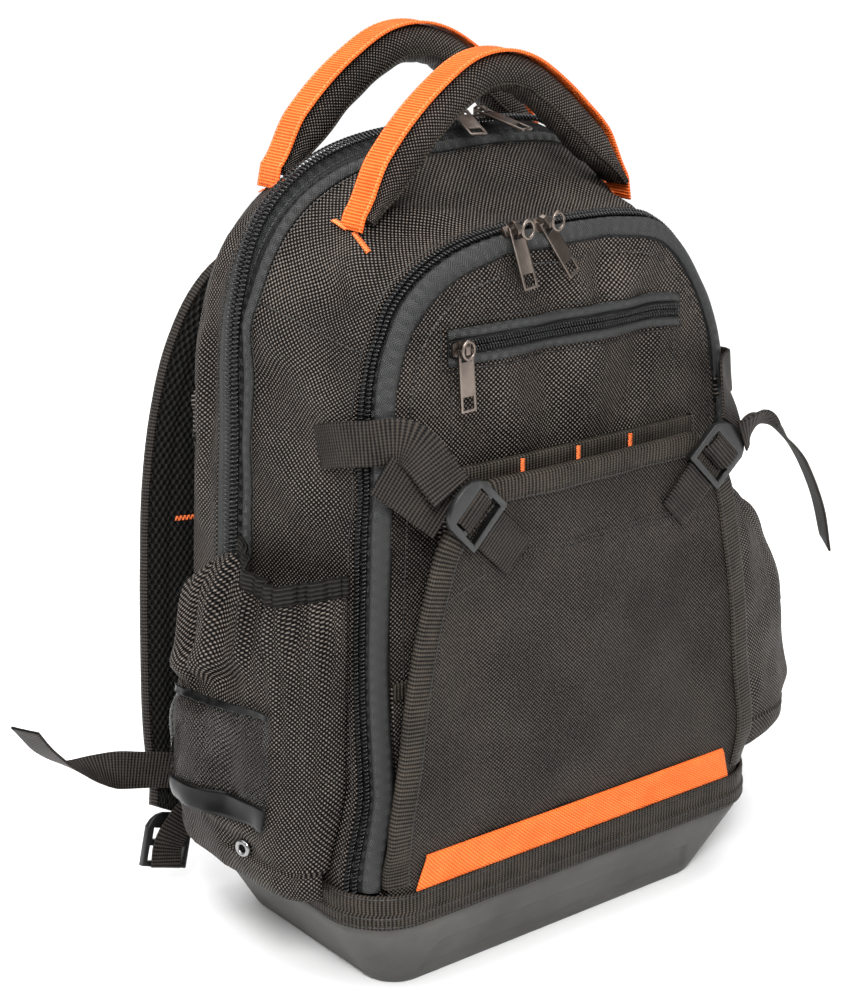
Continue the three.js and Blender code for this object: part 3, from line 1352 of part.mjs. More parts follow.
const HANDLES = {
  front: { y: FRONT_HANDLE_Y, span: FRONT_HANDLE_SPAN, top: FRONT_HANDLE_TOP, seat: FRONT_HANDLE_SEAT },
  rear: { y: REAR_HANDLE_Y, span: REAR_HANDLE_SPAN, top: REAR_HANDLE_TOP, seat: REAR_HANDLE_SEAT },
};
for (const [name, handle] of Object.entries(HANDLES)) {
  add("handle_" + name, handleGeometry(handle), ballisticNylon());
  add("handle_web_" + name, handleWebGeometry(handle), orangeWebbing());
}

add("back_pad", padGeometry(BACK_PAD_WIDTH, BACK_PAD_LOW, BACK_PAD_HEIGHT, BACK_PAD_THICKNESS), spacerMesh());
add("lumbar_pad", padGeometry(LUMBAR_WIDTH, LUMBAR_LOW, LUMBAR_HEIGHT, LUMBAR_THICKNESS), spacerMesh());

// Sliders with their pulls
const onTop = (x) => v3(x, MAIN_ZIP_Y, topZ(x, MAIN_ZIP_Y + COIL_WIDTH / 2, -COIL_HEIGHT) + 1.5 * GAP);
const onEdge = (x) => v3(x, FRONT_ZIP_Y - 2, topZ(x, FRONT_ZIP_Y) + 1.6);
const PULLS = [
  {
    name: "main_left",
    at: onTop(7),
    along: v3(1, 0, 0),
    out: v3(0, 0, 1),
    hang: v3(-0.35, -1, -0.28),
  },
  {
    name: "main_right",
    at: onTop(23),
    along: v3(-1, 0, 0),
    out: v3(0, 0, 1),
    hang: v3(0.3, -1, -0.28),
  },
  {
    name: "front_left",
    at: onEdge(-39),
    along: v3(1, 0, 0),
    out: v3(0, -0.8, 0.6),
    hang: v3(0.1, -0.3, -1),
  },
  {
    name: "front_right",
    at: onEdge(-18),
    along: v3(-1, 0, 0),
    out: v3(0, -0.8, 0.6),
    hang: v3(0.5, -0.3, -1),
  },
  {
    name: "pocket",
    at: v3(-81, pocketZipFace(-81, POCKET_ZIP_Z) - COIL_HEIGHT - 1.2, POCKET_ZIP_Z),
    along: v3(-1, 0, 0),
    out: v3(0, -1, 0),
    hang: v3(0.02, -0.06, -1),
  },
];
for (const pull of PULLS) addZipPull(pull.name, pull);

export default backpack;
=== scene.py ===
import json
import math
import bpy
import numpy as np
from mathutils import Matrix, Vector
from mathutils.bvhtree import BVHTree

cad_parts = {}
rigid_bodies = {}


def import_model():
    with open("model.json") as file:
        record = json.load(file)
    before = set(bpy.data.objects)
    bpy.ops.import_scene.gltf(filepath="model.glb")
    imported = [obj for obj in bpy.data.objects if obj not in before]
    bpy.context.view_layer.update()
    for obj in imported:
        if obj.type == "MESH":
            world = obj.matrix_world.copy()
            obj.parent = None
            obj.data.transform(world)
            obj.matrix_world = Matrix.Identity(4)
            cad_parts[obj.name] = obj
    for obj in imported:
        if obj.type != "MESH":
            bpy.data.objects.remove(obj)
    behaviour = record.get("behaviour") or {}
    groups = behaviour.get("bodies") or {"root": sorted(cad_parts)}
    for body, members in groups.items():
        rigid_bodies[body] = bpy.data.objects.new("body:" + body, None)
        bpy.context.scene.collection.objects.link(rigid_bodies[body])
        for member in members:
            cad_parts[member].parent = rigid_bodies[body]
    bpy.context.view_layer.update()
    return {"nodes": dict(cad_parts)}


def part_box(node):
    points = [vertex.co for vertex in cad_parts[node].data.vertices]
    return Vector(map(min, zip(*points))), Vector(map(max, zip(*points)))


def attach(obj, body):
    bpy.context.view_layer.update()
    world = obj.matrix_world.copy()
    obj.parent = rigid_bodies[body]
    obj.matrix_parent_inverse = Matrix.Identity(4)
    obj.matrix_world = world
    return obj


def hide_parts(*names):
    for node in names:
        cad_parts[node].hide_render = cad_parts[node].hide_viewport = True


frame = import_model()

# ---------------------------------------------------------------- camera
CAMERA_PLACE = (-809.6, -1001.2, 663.5)
CAMERA_AIM = (0.5890, 0.7478, -0.3065)
CAMERA_LENS = 79.65


def placed(name, data):
    made = bpy.data.objects.new(name, data)
    bpy.context.scene.collection.objects.link(made)
    return made


def aimed(made, place, way):
    """Stands a camera or a lamp at a place in metres, looking along a direction."""
    made.location = place
    made.rotation_mode = "QUATERNION"
    made.rotation_quaternion = way.to_track_quat("-Z", "Y")


lens = bpy.data.cameras.new("camera")
lens.lens = CAMERA_LENS
lens.sensor_width = 36
lens.clip_start = 0.05
lens.clip_end = 50
camera = placed("camera", lens)
aimed(camera, Vector(CAMERA_PLACE) / 1000, Vector(CAMERA_AIM))
bpy.context.scene.camera = camera

# ---------------------------------------------------------------- sizes of the pack
GAP = 0.3
SEAM_GAP = 0.8
CLOTH = 2.2
WEBBING = 1.6
WEBBING_WIDTH = 25
BINDING_WIDTH = 12
TRAY_HEIGHT = 54
TRAY_WIDTH = 312
TRAY_FRONT_Y = -120
TRAY_BACK_Y = 62
TRAY_CORNER = 36
TRAY_CENTRE = (0, -29, 0)
TRAY_FOOT_INSET = 30
TRAY_FOOT_FRONT_INSET = 23
TRAY_FOOT_BACK_INSET = 12
TRAY_FOOT_CORNER = 20
BAND_LOW = 52
BAND_TOP = 73
BAND_THICKNESS = 2.2
BAND_STEP = 0.8
HEM_Z = TRAY_HEIGHT + GAP
BODY_HEIGHT = 423
MAIN_ZIP_Y = 5
FRONT_ZIP_DEPTH = 99
FRONT_ZIP_Y = MAIN_ZIP_Y - FRONT_ZIP_DEPTH
REAR_DEPTH = 51
BACK_Y = MAIN_ZIP_Y + REAR_DEPTH
GUSSET_BULGE = 2
GUSSET_SAG = 6
ZIP_TAPE = 28
GUSSET_FRONT_Y = FRONT_ZIP_Y + ZIP_TAPE / 2 - 4
ZIP_LOW = BAND_TOP + GAP
PANEL_SETBACK = 5
PANEL_INSET = 12
PANEL_Y = FRONT_ZIP_Y - PANEL_SETBACK
POCKET_ZIP_WIDTH = 174
POCKET_ZIP_Z = 377
TOOL_POCKET_WIDTH = 184
TOOL_POCKET_TOP = 311
TOOL_POCKET_DEPTH = 10
FLAP_WIDTH = 284
FLAP_TOP = 305
FLAP_FRONT_Y = -121
FLAP_REACH = 4
FLAP_CROWN = 3
STRIPE_WIDTH = 248
STRIPE_TAPER = 7
STRIPE_HEIGHT = 21
POCKET_CENTRE = (0, -20, 150)
POCKET_LOW = 64
POCKET_HEIGHT = 184
POCKET_FRONT_Y = -84
POCKET_BACK_Y = 46
POCKET_REACH = {"left": 24, "right": 82}
POCKET_RIM_REACH = 20
POCKET_SEAM_SHARE = 0.56
GATHER_COUNT = 7
BUCKLE_X = 93
BUCKLE_Z = 294
BUCKLE_LENGTH = 34
BUCKLE_THICKNESS = 4
TAB_LENGTH = 30
HANDLE_SHIFT = -7
HANDLE_THICKNESS = 22
HANDLE_DEPTH = 25
HANDLE_WEB_WIDTH = 20
SHOULDER_WIDTH = 66
SHOULDER_THICKNESS = 10
HARNESS_DEPTH = 44
HARNESS_LENGTH = 330
HARNESS_LOW = 58
HARNESS_SPREAD = 134
WAIST_LENGTH = 122
WAIST_Z = 82
DROOP = 16
DROOP_X = 60
DROOP_WIDTH = 70
DROOP_Z = 290
DROOP_HEIGHT = 130
BACK_PAD = dict(width=214, low=166, height=182, thick=11)
LUMBAR_PAD = dict(width=230, low=84, height=74, thick=15)
STRAP_Y = -60
STRAP_Z = 323
LABEL_WIDTH = 80
LABEL_HEIGHT = 70
LABEL_Y = -18
LABEL_Z = 138
LABEL_TILT = 1
TURNS = {"left": np.array([1, 1, 1]), "right": np.array([-1, 1, 1])}


def table(names, *rows):
    """Rows of a table as dictionaries, with a name for each column."""
    return [dict(zip(names.split(), row)) for row in rows]


# Each arch of the body: width, taper, start and top of its corners, and their roundness
ARCHES = {
    "front": dict(width=276, taper=0.945, rise=0.64, top=0.896, power=3.0),
    "main": dict(width=328, taper=0.955, rise=0.63, top=1.0, power=3.1),
    "back": dict(width=312, taper=0.95, rise=0.62, top=0.965, power=3.1),
}
FLAP_ROWS = table(
    "up half out",
    (-0.05, 0.975, -0.1),
    (0, 0.975, -0.05),
    (0.03, 0.98, 0.05),
    (0.09, 0.99, 0.15),
    (0.17, 0.985, 0.2),
    (0.26, 0.96, 0.24),
    (0.36, 0.932, 0.3),
    (0.47, 0.912, 0.36),
    (0.6, 0.875, 0.44),
    (0.73, 0.825, 0.6),
    (0.86, 0.765, 0.8),
    (0.94, 0.66, 0.92),
    (1, 0.545, 1),
)
POCKET_RIM = table(
    "along height reach",
    (0, 0.985, 0),
    (0.1, 0.965, 0.7),
    (0.22, 0.945, 1),
    (0.36, 0.95, 0.85),
    (0.48, 0.985, 0.35),
    (POCKET_SEAM_SHARE, 1.03, 0),
    (0.78, 0.95, 0),
    (1, 0.82, 0),
)
POCKET_ROWS = table(
    "down full square gather",
    (0, 0, 2.6, 0.6),
    (0.05, 0.3, 2.6, 1),
    (0.12, 0.56, 2.8, 0.8),
    (0.24, 0.8, 3.2, 0.4),
    (0.42, 0.95, 4, 0.12),
    (0.8, 1, 6, 0),
    (0.93, 0.95, 6, 0),
    (0.99, 0.8, 6, 0),
    (1, 0.5, 6, 0),
    (1.0001, 0.12, 6, 0),
)
HANDLE_ARC = table(
    "along up",
    (-1, 0),
    (-0.8, 0.29),
    (-0.6, 0.58),
    (-0.4, 0.8),
    (-0.18, 0.97),
    (0, 1),
    (0.18, 0.93),
    (0.4, 0.72),
    (0.6, 0.47),
    (0.8, 0.22),
    (1, 0),
)
HANDLES = {
    "front": dict(y=-45, span=192, top=36, seat=3.1),
    "rear": dict(y=33, span=194, top=45, seat=1.1),
}
HARNESS_ROWS = table(
    "up aside out width",
    (1, 0.33, 0, 0.86),
    (0.99, 0.38, 0.5, 0.92),
    (0.964, 0.48, 0.78, 1),
    (0.921, 0.66, 0.9, 1),
    (0.839, 0.78, 0.97, 1),
    (0.727, 0.86, 1, 1),
    (0.603, 0.92, 0.96, 1),
    (0.467, 0.96, 0.88, 1),
    (0.309, 1, 0.76, 1),
    (0.158, 1.06, 0.64, 0.88),
    (0.052, 1.13, 0.52, 0.64),
    (0, 1.2, 0.42, 0.45),
)
WAIST_ROWS = table(
    "out up back turn",
    (0, 0, 0, 0),
    (0.2, 0.07, 0.08, 0),
    (0.42, 0.12, 0.12, 8),
    (0.58, 0.16, 0.14, 55),
    (0.74, 0.22, 0.14, 95),
    (0.88, 0.34, 0.12, 110),
    (1, 0.5, 0.1, 115),
)
RIGHT_TAIL = table(
    "at across",
    ((106, -137.4, 302), (0.6, 0.1, -0.7)),
    ((115, -137.6, 306.4), (0.6, 0.42, -0.45)),
    ((133, -128, 304), (0.4, 0.9, -0.1)),
    ((160, -113, 292), (0.4, 0.9, 0.1)),
    ((191, -105, 268), (0.4, 0.9, 0.1)),
    ((211, -105, 234), (0.45, 0.9, 0.15)),
    ((221, -105, 203), (0.5, 0.85, 0.25)),
)
LEFT_TAIL = table(
    "at across",
    ((-106, -123, 290), (0.7, 0, 0.7)),
    ((-116, -116.5, 299.5), (0.6, 0, 0.8)),
    ((-127, -109.5, 310), (0.5, 0, 0.85)),
    ((-136, -106, 317), (0.3, 0, 0.95)),
)

# Soft folds of the filled cloth: a ridge or dent from one place to another, how wide it is, how
# high it stands and the way it stands out
FOLDS = table(
    "start end wide high out",
    # front panel under the arch and round the short zip
    ((-62, -102, 418), (-30, -102, 388), 9, 2.2, (0, -1, 0.2)),
    ((-40, -102, 420), (-8, -102, 390), 8, -2.0, (0, -1, 0)),
    ((-16, -102, 424), (14, -102, 392), 9, 2.4, (0, -1, 0)),
    ((30, -102, 424), (22, -102, 392), 8, -2.0, (0, -1, 0)),
    ((64, -102, 414), (38, -102, 390), 9, 2.2, (0, -1, 0)),
    ((88, -102, 396), (60, -102, 388), 8, -1.6, (0, -1, 0)),
    ((-50, -102, 362), (-36, -106, 312), 12, 2.2, (0, -1, 0)),
    ((-18, -102, 364), (-8, -106, 316), 11, -2.2, (0, -1, 0)),
    ((24, -102, 366), (10, -106, 318), 12, 2.0, (0, -1, 0)),
    ((58, -102, 366), (46, -106, 320), 11, -2.0, (0, -1, 0)),
    # top between the zips, pulled by the handle
    ((-92, -45, 442), (-40, -74, 448), 11, 3.0, (0, -0.3, 1)),
    ((-96, -40, 438), (-128, -72, 392), 11, 2.6, (-0.8, -0.2, 0.6)),
    ((-66, -50, 452), (-4, -80, 446), 9, -2.4, (0, -0.2, 1)),
    ((20, -30, 464), (72, -76, 444), 12, 2.6, (0, -0.2, 1)),
    ((60, -34, 456), (96, -70, 430), 10, -2.6, (0.3, -0.2, 1)),
    ((-20, -24, 470), (24, -66, 456), 14, -2.0, (0, 0, 1)),
    # left side between the zips
    ((-152, -14, 384), (-142, -78, 332), 13, 2.8, (-1, 0, 0.2)),
    ((-154, -24, 352), (-142, -80, 372), 11, -2.6, (-1, 0, 0)),
    ((-158, -20, 318), (-146, -70, 270), 14, 2.4, (-1, 0, 0)),
    ((-156, -50, 262), (-148, -82, 300), 11, -2.4, (-1, 0, 0)),
    ((-140, -30, 424), (-126, -82, 388), 10, -2.6, (-0.8, 0, 0.5)),
    # left side behind the main zip
    ((-148, 30, 396), (-158, 36, 300), 9, -3.0, (-1, 0, 0)),
    ((-152, 44, 360), (-156, 40, 262), 8, 2.6, (-1, 0, 0)),
    ((-132, 30, 440), (-146, 36, 396), 9, 2.2, (-0.8, 0, 0.6)),
    # right side, mirrored and a little calmer
    ((150, -20, 360), (140, -76, 318), 13, 2.4, (1, 0, 0.2)),
    ((156, -22, 318), (146, -72, 280), 13, -2.2, (1, 0, 0)),
    ((152, 34, 380), (156, 38, 288), 9, -2.6, (1, 0, 0)),
)
# How much deeper the folds are than their table says
FOLD_RISE = 2.2
# Folds of the left side pocket
POCKET_FOLDS = table(
    "start end wide high out",
    ((-186, -66, 224), (-190, -30, 196), 9, 3.0, (-1, 0, 0.2)),
    ((-186, -58, 206), (-190, -20, 184), 8, -2.8, (-1, 0, 0)),
    ((-184, -24, 228), (-190, -22, 186), 5, -2.6, (-1, 0, 0)),
    ((-184, -8, 232), (-190, -10, 178), 6, 2.8, (-1, 0, 0)),
    ((-180, 6, 240), (-190, 2, 186), 5, -3.0, (-1, 0, 0)),
    ((-176, 20, 232), (-188, 10, 176), 7, 3.0, (-1, 0, 0)),
    ((-188, 26, 168), (-192, -44, 188), 9, -3.2, (-1, 0, 0)),
    ((-190, 18, 184), (-192, -30, 200), 8, 2.2, (-1, 0, 0)),
    ((-180, -82, 214), (-192, -52, 96), 11, 4.2, (-1, -0.5, 0)),
    ((-188, -66, 150), (-188, -40, 84), 8, -2.2, (-1, 0, 0)),
    ((-190, 14, 108), (-188, -60, 88), 9, 2.4, (-1, 0, 0)),
    ((-190, -10, 96), (-184, -78, 76), 6, -2.4, (-1, -0.2, 0)),
    ((-192, -40, 170), (-192, -20, 110), 12, -2.0, (-1, 0, 0)),
)


# ---------------------------------------------------------------- small helpers
def mix(a, b, t):
    return a + (b - a) * t


def ease(t):
    t = np.clip(t, 0, 1)
    return t * t * (3 - 2 * t)


def read(rows, place, at, column):
    """Reads a table smoothly, without overshooting its rows."""
    ordered = sorted(rows, key=lambda row: row[place])
    x = np.array([row[place] for row in ordered], float)
    y = np.array([row[column] for row in ordered], float)
    step = np.diff(x)
    slope = np.diff(y) / step
    product, both = slope[:-1] * slope[1:], slope[:-1] + slope[1:]
    inner = np.where(product > 0, 2 * product / np.where(both == 0, 1, both), 0)
    tangent = np.concatenate([[slope[0]], inner, [slope[-1]]])
    at = np.clip(np.asarray(at, float), x[0], x[-1])
    i = np.clip(np.searchsorted(x, at) - 1, 0, len(step) - 1)
    t = (at - x[i]) / step[i]
    return hermite(t, step[i], y[i], y[i + 1], tangent[i], tangent[i + 1])


def hermite(t, step, a, b, slope_a, slope_b):
    """A cubic from a to b over a step, with the given slopes at its ends."""
    start = (2 * t**3 - 3 * t**2 + 1) * a + (t**3 - 2 * t**2 + t) * step * slope_a
    return start + (3 * t**2 - 2 * t**3) * b + (t**3 - t**2) * step * slope_b


def unit(v):
    v = np.asarray(v, float)
    return v / np.maximum(np.linalg.norm(v, axis=-1, keepdims=True), 1e-9)


def smooth_path(points, count):
    """Even points on a smooth curve through a few given ones."""
    p = np.array(points, float)
    gap = np.sqrt(np.linalg.norm(np.diff(p, axis=0), axis=1))
    knot = np.concatenate([[0], np.cumsum(gap)])
    tangent = np.gradient(p, knot, axis=0)
    at = np.linspace(0, knot[-1], count * 4)
    i = np.clip(np.searchsorted(knot, at) - 1, 0, len(gap) - 1)
    h = (knot[i + 1] - knot[i])[:, None]
    t = (at[:, None] - knot[i][:, None]) / h
    return evenly(hermite(t, h, p[i], p[i + 1], tangent[i], tangent[i + 1]), count)


def smooth_lay(points, across, count):
    """A smooth path together with the way its webbing lies along it."""
    run = lengths(np.array(points, float))
    path = smooth_path(points, count)
    at = lengths(path) / lengths(path)[-1] * run[-1]
    across = np.array(across, float)
    lie = sample(at, run, across)
    for _ in range(6):
        lie[1:-1] = (lie[:-2] + 2 * lie[1:-1] + lie[2:]) / 4
    return path, unit(lie)


def lengths(points):
    return np.concatenate([[0], np.cumsum(np.linalg.norm(np.diff(points, axis=0), axis=1))])


def sample(at, run, rows):
    """Rows that are known at the places of a run, read at other places along it."""
    return np.stack([np.interp(at, run, column) for column in rows.T], 1)


def evenly(points, count):
    run = lengths(points)
    return sample(np.linspace(0, run[-1], count), run, points)


def full_turn(count):
    return np.linspace(0, 2 * np.pi, count + 1)[:-1]


def cord(path, side, up, wide, points, high=None):
    """Rings of a cord along a path, each of some points, with its half width and half height."""
    c, s = (f(full_turn(points))[None, :, None] for f in (np.cos, np.sin))
    return path[:, None] + wide * c * side[:, None] + (high or wide) * s * up[:, None]


def ripple(points, size, seed):
    """A soft, folded-looking unevenness from -1 to 1, with folds about `size` millimetres apart."""
    chance = np.random.default_rng(seed)
    value = np.zeros(points.shape[:-1])
    for _ in range(5):
        way = unit(chance.normal(size=3)) / size
        bend = unit(chance.normal(size=3)) / (size * 2.3)
        phase = chance.uniform(0, 6.28, 2)
        sway = 1.6 * np.sin(6.28 * points @ bend + phase[1])
        value += np.sin(6.28 * points @ way + sway + phase[0])
    return value / 3.2


def folded(points, rows):
    moved = points.copy()
    for row in rows:
        a, b = np.array(row["start"], float), np.array(row["end"], float)
        along = b - a
        t = np.clip(((points - a) @ along) / (along @ along), 0, 1)
        away = np.linalg.norm(points - a - t[..., None] * along, axis=-1)
        taper = 0.35 + 0.65 * np.sin(np.pi * np.clip(0.12 + 0.76 * t, 0, 1))
        height = FOLD_RISE * row["high"] * taper * np.exp(-((away / row["wide"]) ** 2))
        moved += height[..., None] * unit(row["out"])
    return moved


def drooped(points):
    """The filled bag droops at its right shoulder."""
    across = ease((points[..., 0] - DROOP_X) / DROOP_WIDTH)
    drop = DROOP * across * ease((points[..., 2] - DROOP_Z) / DROOP_HEIGHT)
    return points + drop[..., None] * np.array([-0.75, 0, -0.6])


def settled(points):
    return drooped(folded(points, FOLDS))


# ---------------------------------------------------------------- the body's form
def body_at(y):
    forward, backward = (MAIN_ZIP_Y - y) / FRONT_ZIP_DEPTH, (y - MAIN_ZIP_Y) / REAR_DEPTH
    other = ARCHES["front"] if forward > 0 else ARCHES["back"]
    share = min(max(forward, backward, 0), 1)
    at = {key: mix(ARCHES["main"][key], other[key], share) for key in other}
    between = 4 * share * (1 - share)
    return dict(
        half=at["width"] / 2 + GUSSET_BULGE * between,
        taper=at["taper"],
        rise=TRAY_HEIGHT + BODY_HEIGHT * at["rise"],
        top=TRAY_HEIGHT + BODY_HEIGHT * at["top"] - (GUSSET_SAG * between if forward > 0 else 0),
        power=at["power"],
        front=share if forward > 0 else 0,
        back=share if backward > 0 else 0,
    )


def depth_at(y, z, body):
    flare = 10 * body["front"] * (1 - ease((z - BAND_TOP) / 150))
    lean = 12 * body["back"] * ease((z - body["rise"]) / (body["top"] - body["rise"]))
    return y - flare - lean


def base_half(y):
    past = np.maximum(np.maximum(TRAY_FRONT_Y + TRAY_CORNER - y, y - TRAY_BACK_Y + TRAY_CORNER), 0)
    bend = np.minimum(past, TRAY_CORNER)
    return TRAY_WIDTH / 2 - TRAY_CORNER + np.sqrt(TRAY_CORNER**2 - bend**2)


def base_front(x):
    past = np.clip(np.abs(x) - TRAY_WIDTH / 2 + TRAY_CORNER, 0, TRAY_CORNER)
    return TRAY_FRONT_Y + TRAY_CORNER - np.sqrt(TRAY_CORNER**2 - past**2)


def side_half(body, z):
    up = np.clip((z - BAND_TOP) / (body["rise"] - BAND_TOP), 0, 1)
    return body["half"] * mix(1, body["taper"], up**2)


def half_at(y, z):
    body = body_at(y)
    foot = base_half(depth_at(y, z, body)) - 1
    return mix(foot, side_half(body, z), ease((z - BAND_TOP) / 60))


SIDE_POINTS, CORNER_POINTS = 70, 40


def arch(y, inset=0.0, low=HEM_Z):
    """One arch of the skin, from the left foot over the top to the right foot."""
    body = body_at(y)
    z = np.linspace(low, body["rise"], SIDE_POINTS)
    left = np.stack([inset - half_at(y, z), depth_at(y, z, body), z], 1)
    turn = np.radians(np.linspace(0, 90, CORNER_POINTS + 1)[1:])
    c, s = np.cos(turn), np.sin(turn)
    a = body["half"] * body["taper"] - inset
    b = body["top"] - inset - body["rise"]
    scale = (c ** body["power"] + s ** body["power"]) ** (-1 / body["power"])
    high = body["rise"] + b * scale * s
    corner = np.stack([-a * scale * c, depth_at(y, high, body), high], 1)
    half = np.concatenate([left, corner])
    half[-1, 0] = 0
    return np.concatenate([half, half[:-1][::-1] * [-1, 1, 1]])


CORNER_START = SIDE_POINTS - 1


def front_corner(y, inset, low=ZIP_LOW):
    """Front edge of the body: the zip turns round it on to the front."""
    if y > FRONT_ZIP_Y:
        return arch(y, inset, low)
    return arch(FRONT_ZIP_Y, inset, low) - [0, FRONT_ZIP_Y - y, 0]


def fullness(x, z, body, inset):
    aside = np.abs(x) / (side_half(body, z) - inset)
    up = np.maximum(z - body["rise"], 0) / (body["top"] - inset - body["rise"])
    return np.maximum(1 - aside ** body["power"] - up ** body["power"], 0)


def face_y(x, z):
    body = body_at(FRONT_ZIP_Y)
    bulge = 4 * ease((z - HEM_Z) / 150)
    return depth_at(PANEL_Y, z, body) - bulge * fullness(x, z, body, PANEL_INSET)


def back_y(x, z):
    body = body_at(BACK_Y)
    return depth_at(BACK_Y, z, body) - 2 * fullness(x, z, body, 0)


def arch_panel(border, depth):
    """The panel that fills an arch, pushed to its depth."""
    last = len(border) - 1
    left = border[: CORNER_START + 1]
    right = border[last - CORNER_START :][::-1]
    top = border[CORNER_START : last - CORNER_START + 1]
    x = np.linspace(border[0, 0], border[last, 0], len(top))
    bottom = np.stack([x, depth(x, np.full_like(x, HEM_Z)), np.full_like(x, HEM_Z)], 1)
    bottom[[0, -1], 1] = border[0, 1]
    s = np.linspace(0, 1, len(top))[None, :, None]
    t = np.linspace(0, 1, len(left))[:, None, None]
    ruled = mix(bottom[None], top[None], t) + mix(left[:, None], right[:, None], s)
    grid = ruled - mix(mix(bottom[0], bottom[-1], s), mix(top[0], top[-1], s), t)
    deep = depth(grid[..., 0], grid[..., 2])
    grid[1:-1, 1:-1, 1] = deep[1:-1, 1:-1]
    return grid


# ---------------------------------------------------------------- making meshes
def piece_from(name, vertices, faces, finish, uv=None, replaces=()):
    """A mesh from millimetres, on the pack's one body, with its finish and its laid-out cloth."""
    mesh = bpy.data.meshes.new(name)
    mesh.from_pydata((np.asarray(vertices) / 1000).tolist(), [], [list(map(int, f)) for f in faces])
    mesh.update()
    if uv is not None:
        layer = mesh.uv_layers.new(name="cloth")
        index = np.empty(len(mesh.loops), int)
        mesh.loops.foreach_get("vertex_index", index)
        layer.data.foreach_set("uv", (np.asarray(uv)[index] / 1000).ravel())
    mesh.polygons.foreach_set("use_smooth", [True] * len(mesh.polygons))
    made = placed(name, mesh)
    mesh.materials.append(finish)
    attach(made, "root")
    if replaces:
        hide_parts(*replaces)
    return made


def grid_faces(rows, columns, start=0, around=False):
    across = columns if around else columns - 1
    i, j = np.meshgrid(np.arange(rows - 1), np.arange(across), indexing="ij")
    k = (j + 1) % columns
    at = lambda r, c: start + r * columns + c
    return np.stack([at(i, j), at(i, k), at(i + 1, k), at(i + 1, j)], -1).reshape(-1, 4)


def spread(grid):
    """Lays a grid out flat: distance along its columns and along its rows, in millimetres."""
    across = np.linalg.norm(np.diff(grid, axis=1), axis=-1).mean(0)
    down = np.linalg.norm(np.diff(grid, axis=0), axis=-1).mean(1)
    u = np.concatenate([[0], np.cumsum(across)])
    v = np.concatenate([[0], np.cumsum(down)])
    return np.stack(np.meshgrid(u, v), -1)


def outward(grid, centre):
    """Turns a grid round if its faces look towards the centre."""
    normal = np.cross(grid[:-1, 1:] - grid[:-1, :-1], grid[1:, :-1] - grid[:-1, :-1])
    away = grid[:-1, :-1] - np.asarray(centre, float)
    return grid if (normal * away).sum() > 0 else grid[:, ::-1]


def normals_of(grid):
    across = np.gradient(grid, axis=1)
    down = np.gradient(grid, axis=0)
    return unit(np.cross(across, down))


def cloth(name, grids, finish, replaces=(), centre=(0, 0, 250), thickness=CLOTH, flat=()):
    """Cloth from one or more grids of points, with its real thickness behind its face."""
    vertices, faces, laid, start = [], [], [], 0
    for k, grid in enumerate(grids):
        grid = outward(grid, centre)
        rows, columns = grid.shape[:2]
        vertices.append(grid.reshape(-1, 3))
        laid.append((grid[..., [0, 2]] if k in flat else spread(grid)).reshape(-1, 2))
        faces.append(grid_faces(rows, columns, start))
        start += rows * columns
    vertices, faces, laid = (np.concatenate(part) for part in (vertices, faces, laid))
    made = piece_from(name, vertices, faces, finish, laid, replaces)
    if thickness:
        wall = made.modifiers.new("wall", "SOLIDIFY")
        wall.thickness = thickness / 1000
        wall.offset = -1
    return made


def tube(name, rings, finish, replaces=(), ends=True):
    """A solid through rings of points, with its length laid out along it."""
    rings = np.asarray(rings)
    count, around = rings.shape[:2]
    closed = np.concatenate([rings, rings[:, :1]], 1)
    laid = spread(closed)
    faces = grid_faces(count, around + 1).tolist()
    vertices = closed.reshape(-1, 3)
    uv = laid.reshape(-1, 2)
    if ends:
        faces.append(list(range(around))[::-1])
        last = (count - 1) * (around + 1)
        faces.append([last + i for i in range(around)])
    return piece_from(name, vertices, faces, finish, uv, replaces)


def frames_along(path, across):
    along = unit(np.gradient(path, axis=0))
    side = unit(across - (across * along).sum(1, keepdims=True) * along)
    return along, side, np.cross(along, side)


def ribbon(name, path, across, width, thickness, finish, replaces=(), wave=0.0):
    """Webbing with thin rounded selvedges, laid along a path."""
    _, side, face = frames_along(path, across)
    width = np.broadcast_to(width, (len(path),))
    half = thickness / 2
    section = [(-1, -0.2), (-0.97, -0.9), (-0.88, -1), (-0.4, -0.86), (0, -0.84)]
    section += [(0.4, -0.86), (0.88, -1), (0.97, -0.9), (1, -0.2)]
    section += [(s, -f) for s, f in section[::-1]]
    rings = np.stack(
        [path + side * (s * width / 2)[:, None] + face * (f * half) for s, f in section], 1
    )
    if wave:
        run = lengths(path)
        rings += (wave * np.sin(run / 9.0) * np.sin(run / 23.0))[:, None, None] * face[:, None]
    return tube(name, rings, finish, replaces)


def webbing(name, path, across, width, node=None, thickness=WEBBING, wave=0.0):
    """Dark webbing, in place of a solid where one is named."""
    ribbon(name, path, across, width, thickness, dark_webbing, [node] if node else (), wave)


def seat_on(made, points, way, lift=0.0, facing=False):
    """Carries points along a direction on to a piece's face, with the way it faces if asked."""
    graph = bpy.context.evaluated_depsgraph_get()
    tree = BVHTree.FromObject(made, graph)
    way = Vector(way).normalized()
    seated, faces = [], []
    for q in np.asarray(points, float):
        start = Vector(q) / 1000 - way * 0.2
        hit, normal, _, _ = tree.ray_cast(start, way)
        place = (hit if hit is not None else Vector(q) / 1000) * 1000
        seated.append(list(place - way * lift))
        faces.append(list(-way if normal is None else normal))
    return (np.array(seated), np.array(faces)) if facing else np.array(seated)


def joined(name, parts, finish):
    """One mesh from many small ones: each part is its vertices and faces."""
    vertices, faces, start = [], [], 0
    for points, sides in parts:
        vertices.append(points)
        faces += [[start + i for i in face] for face in sides]
        start += len(points)
    return piece_from(name, np.concatenate(vertices), faces, finish)


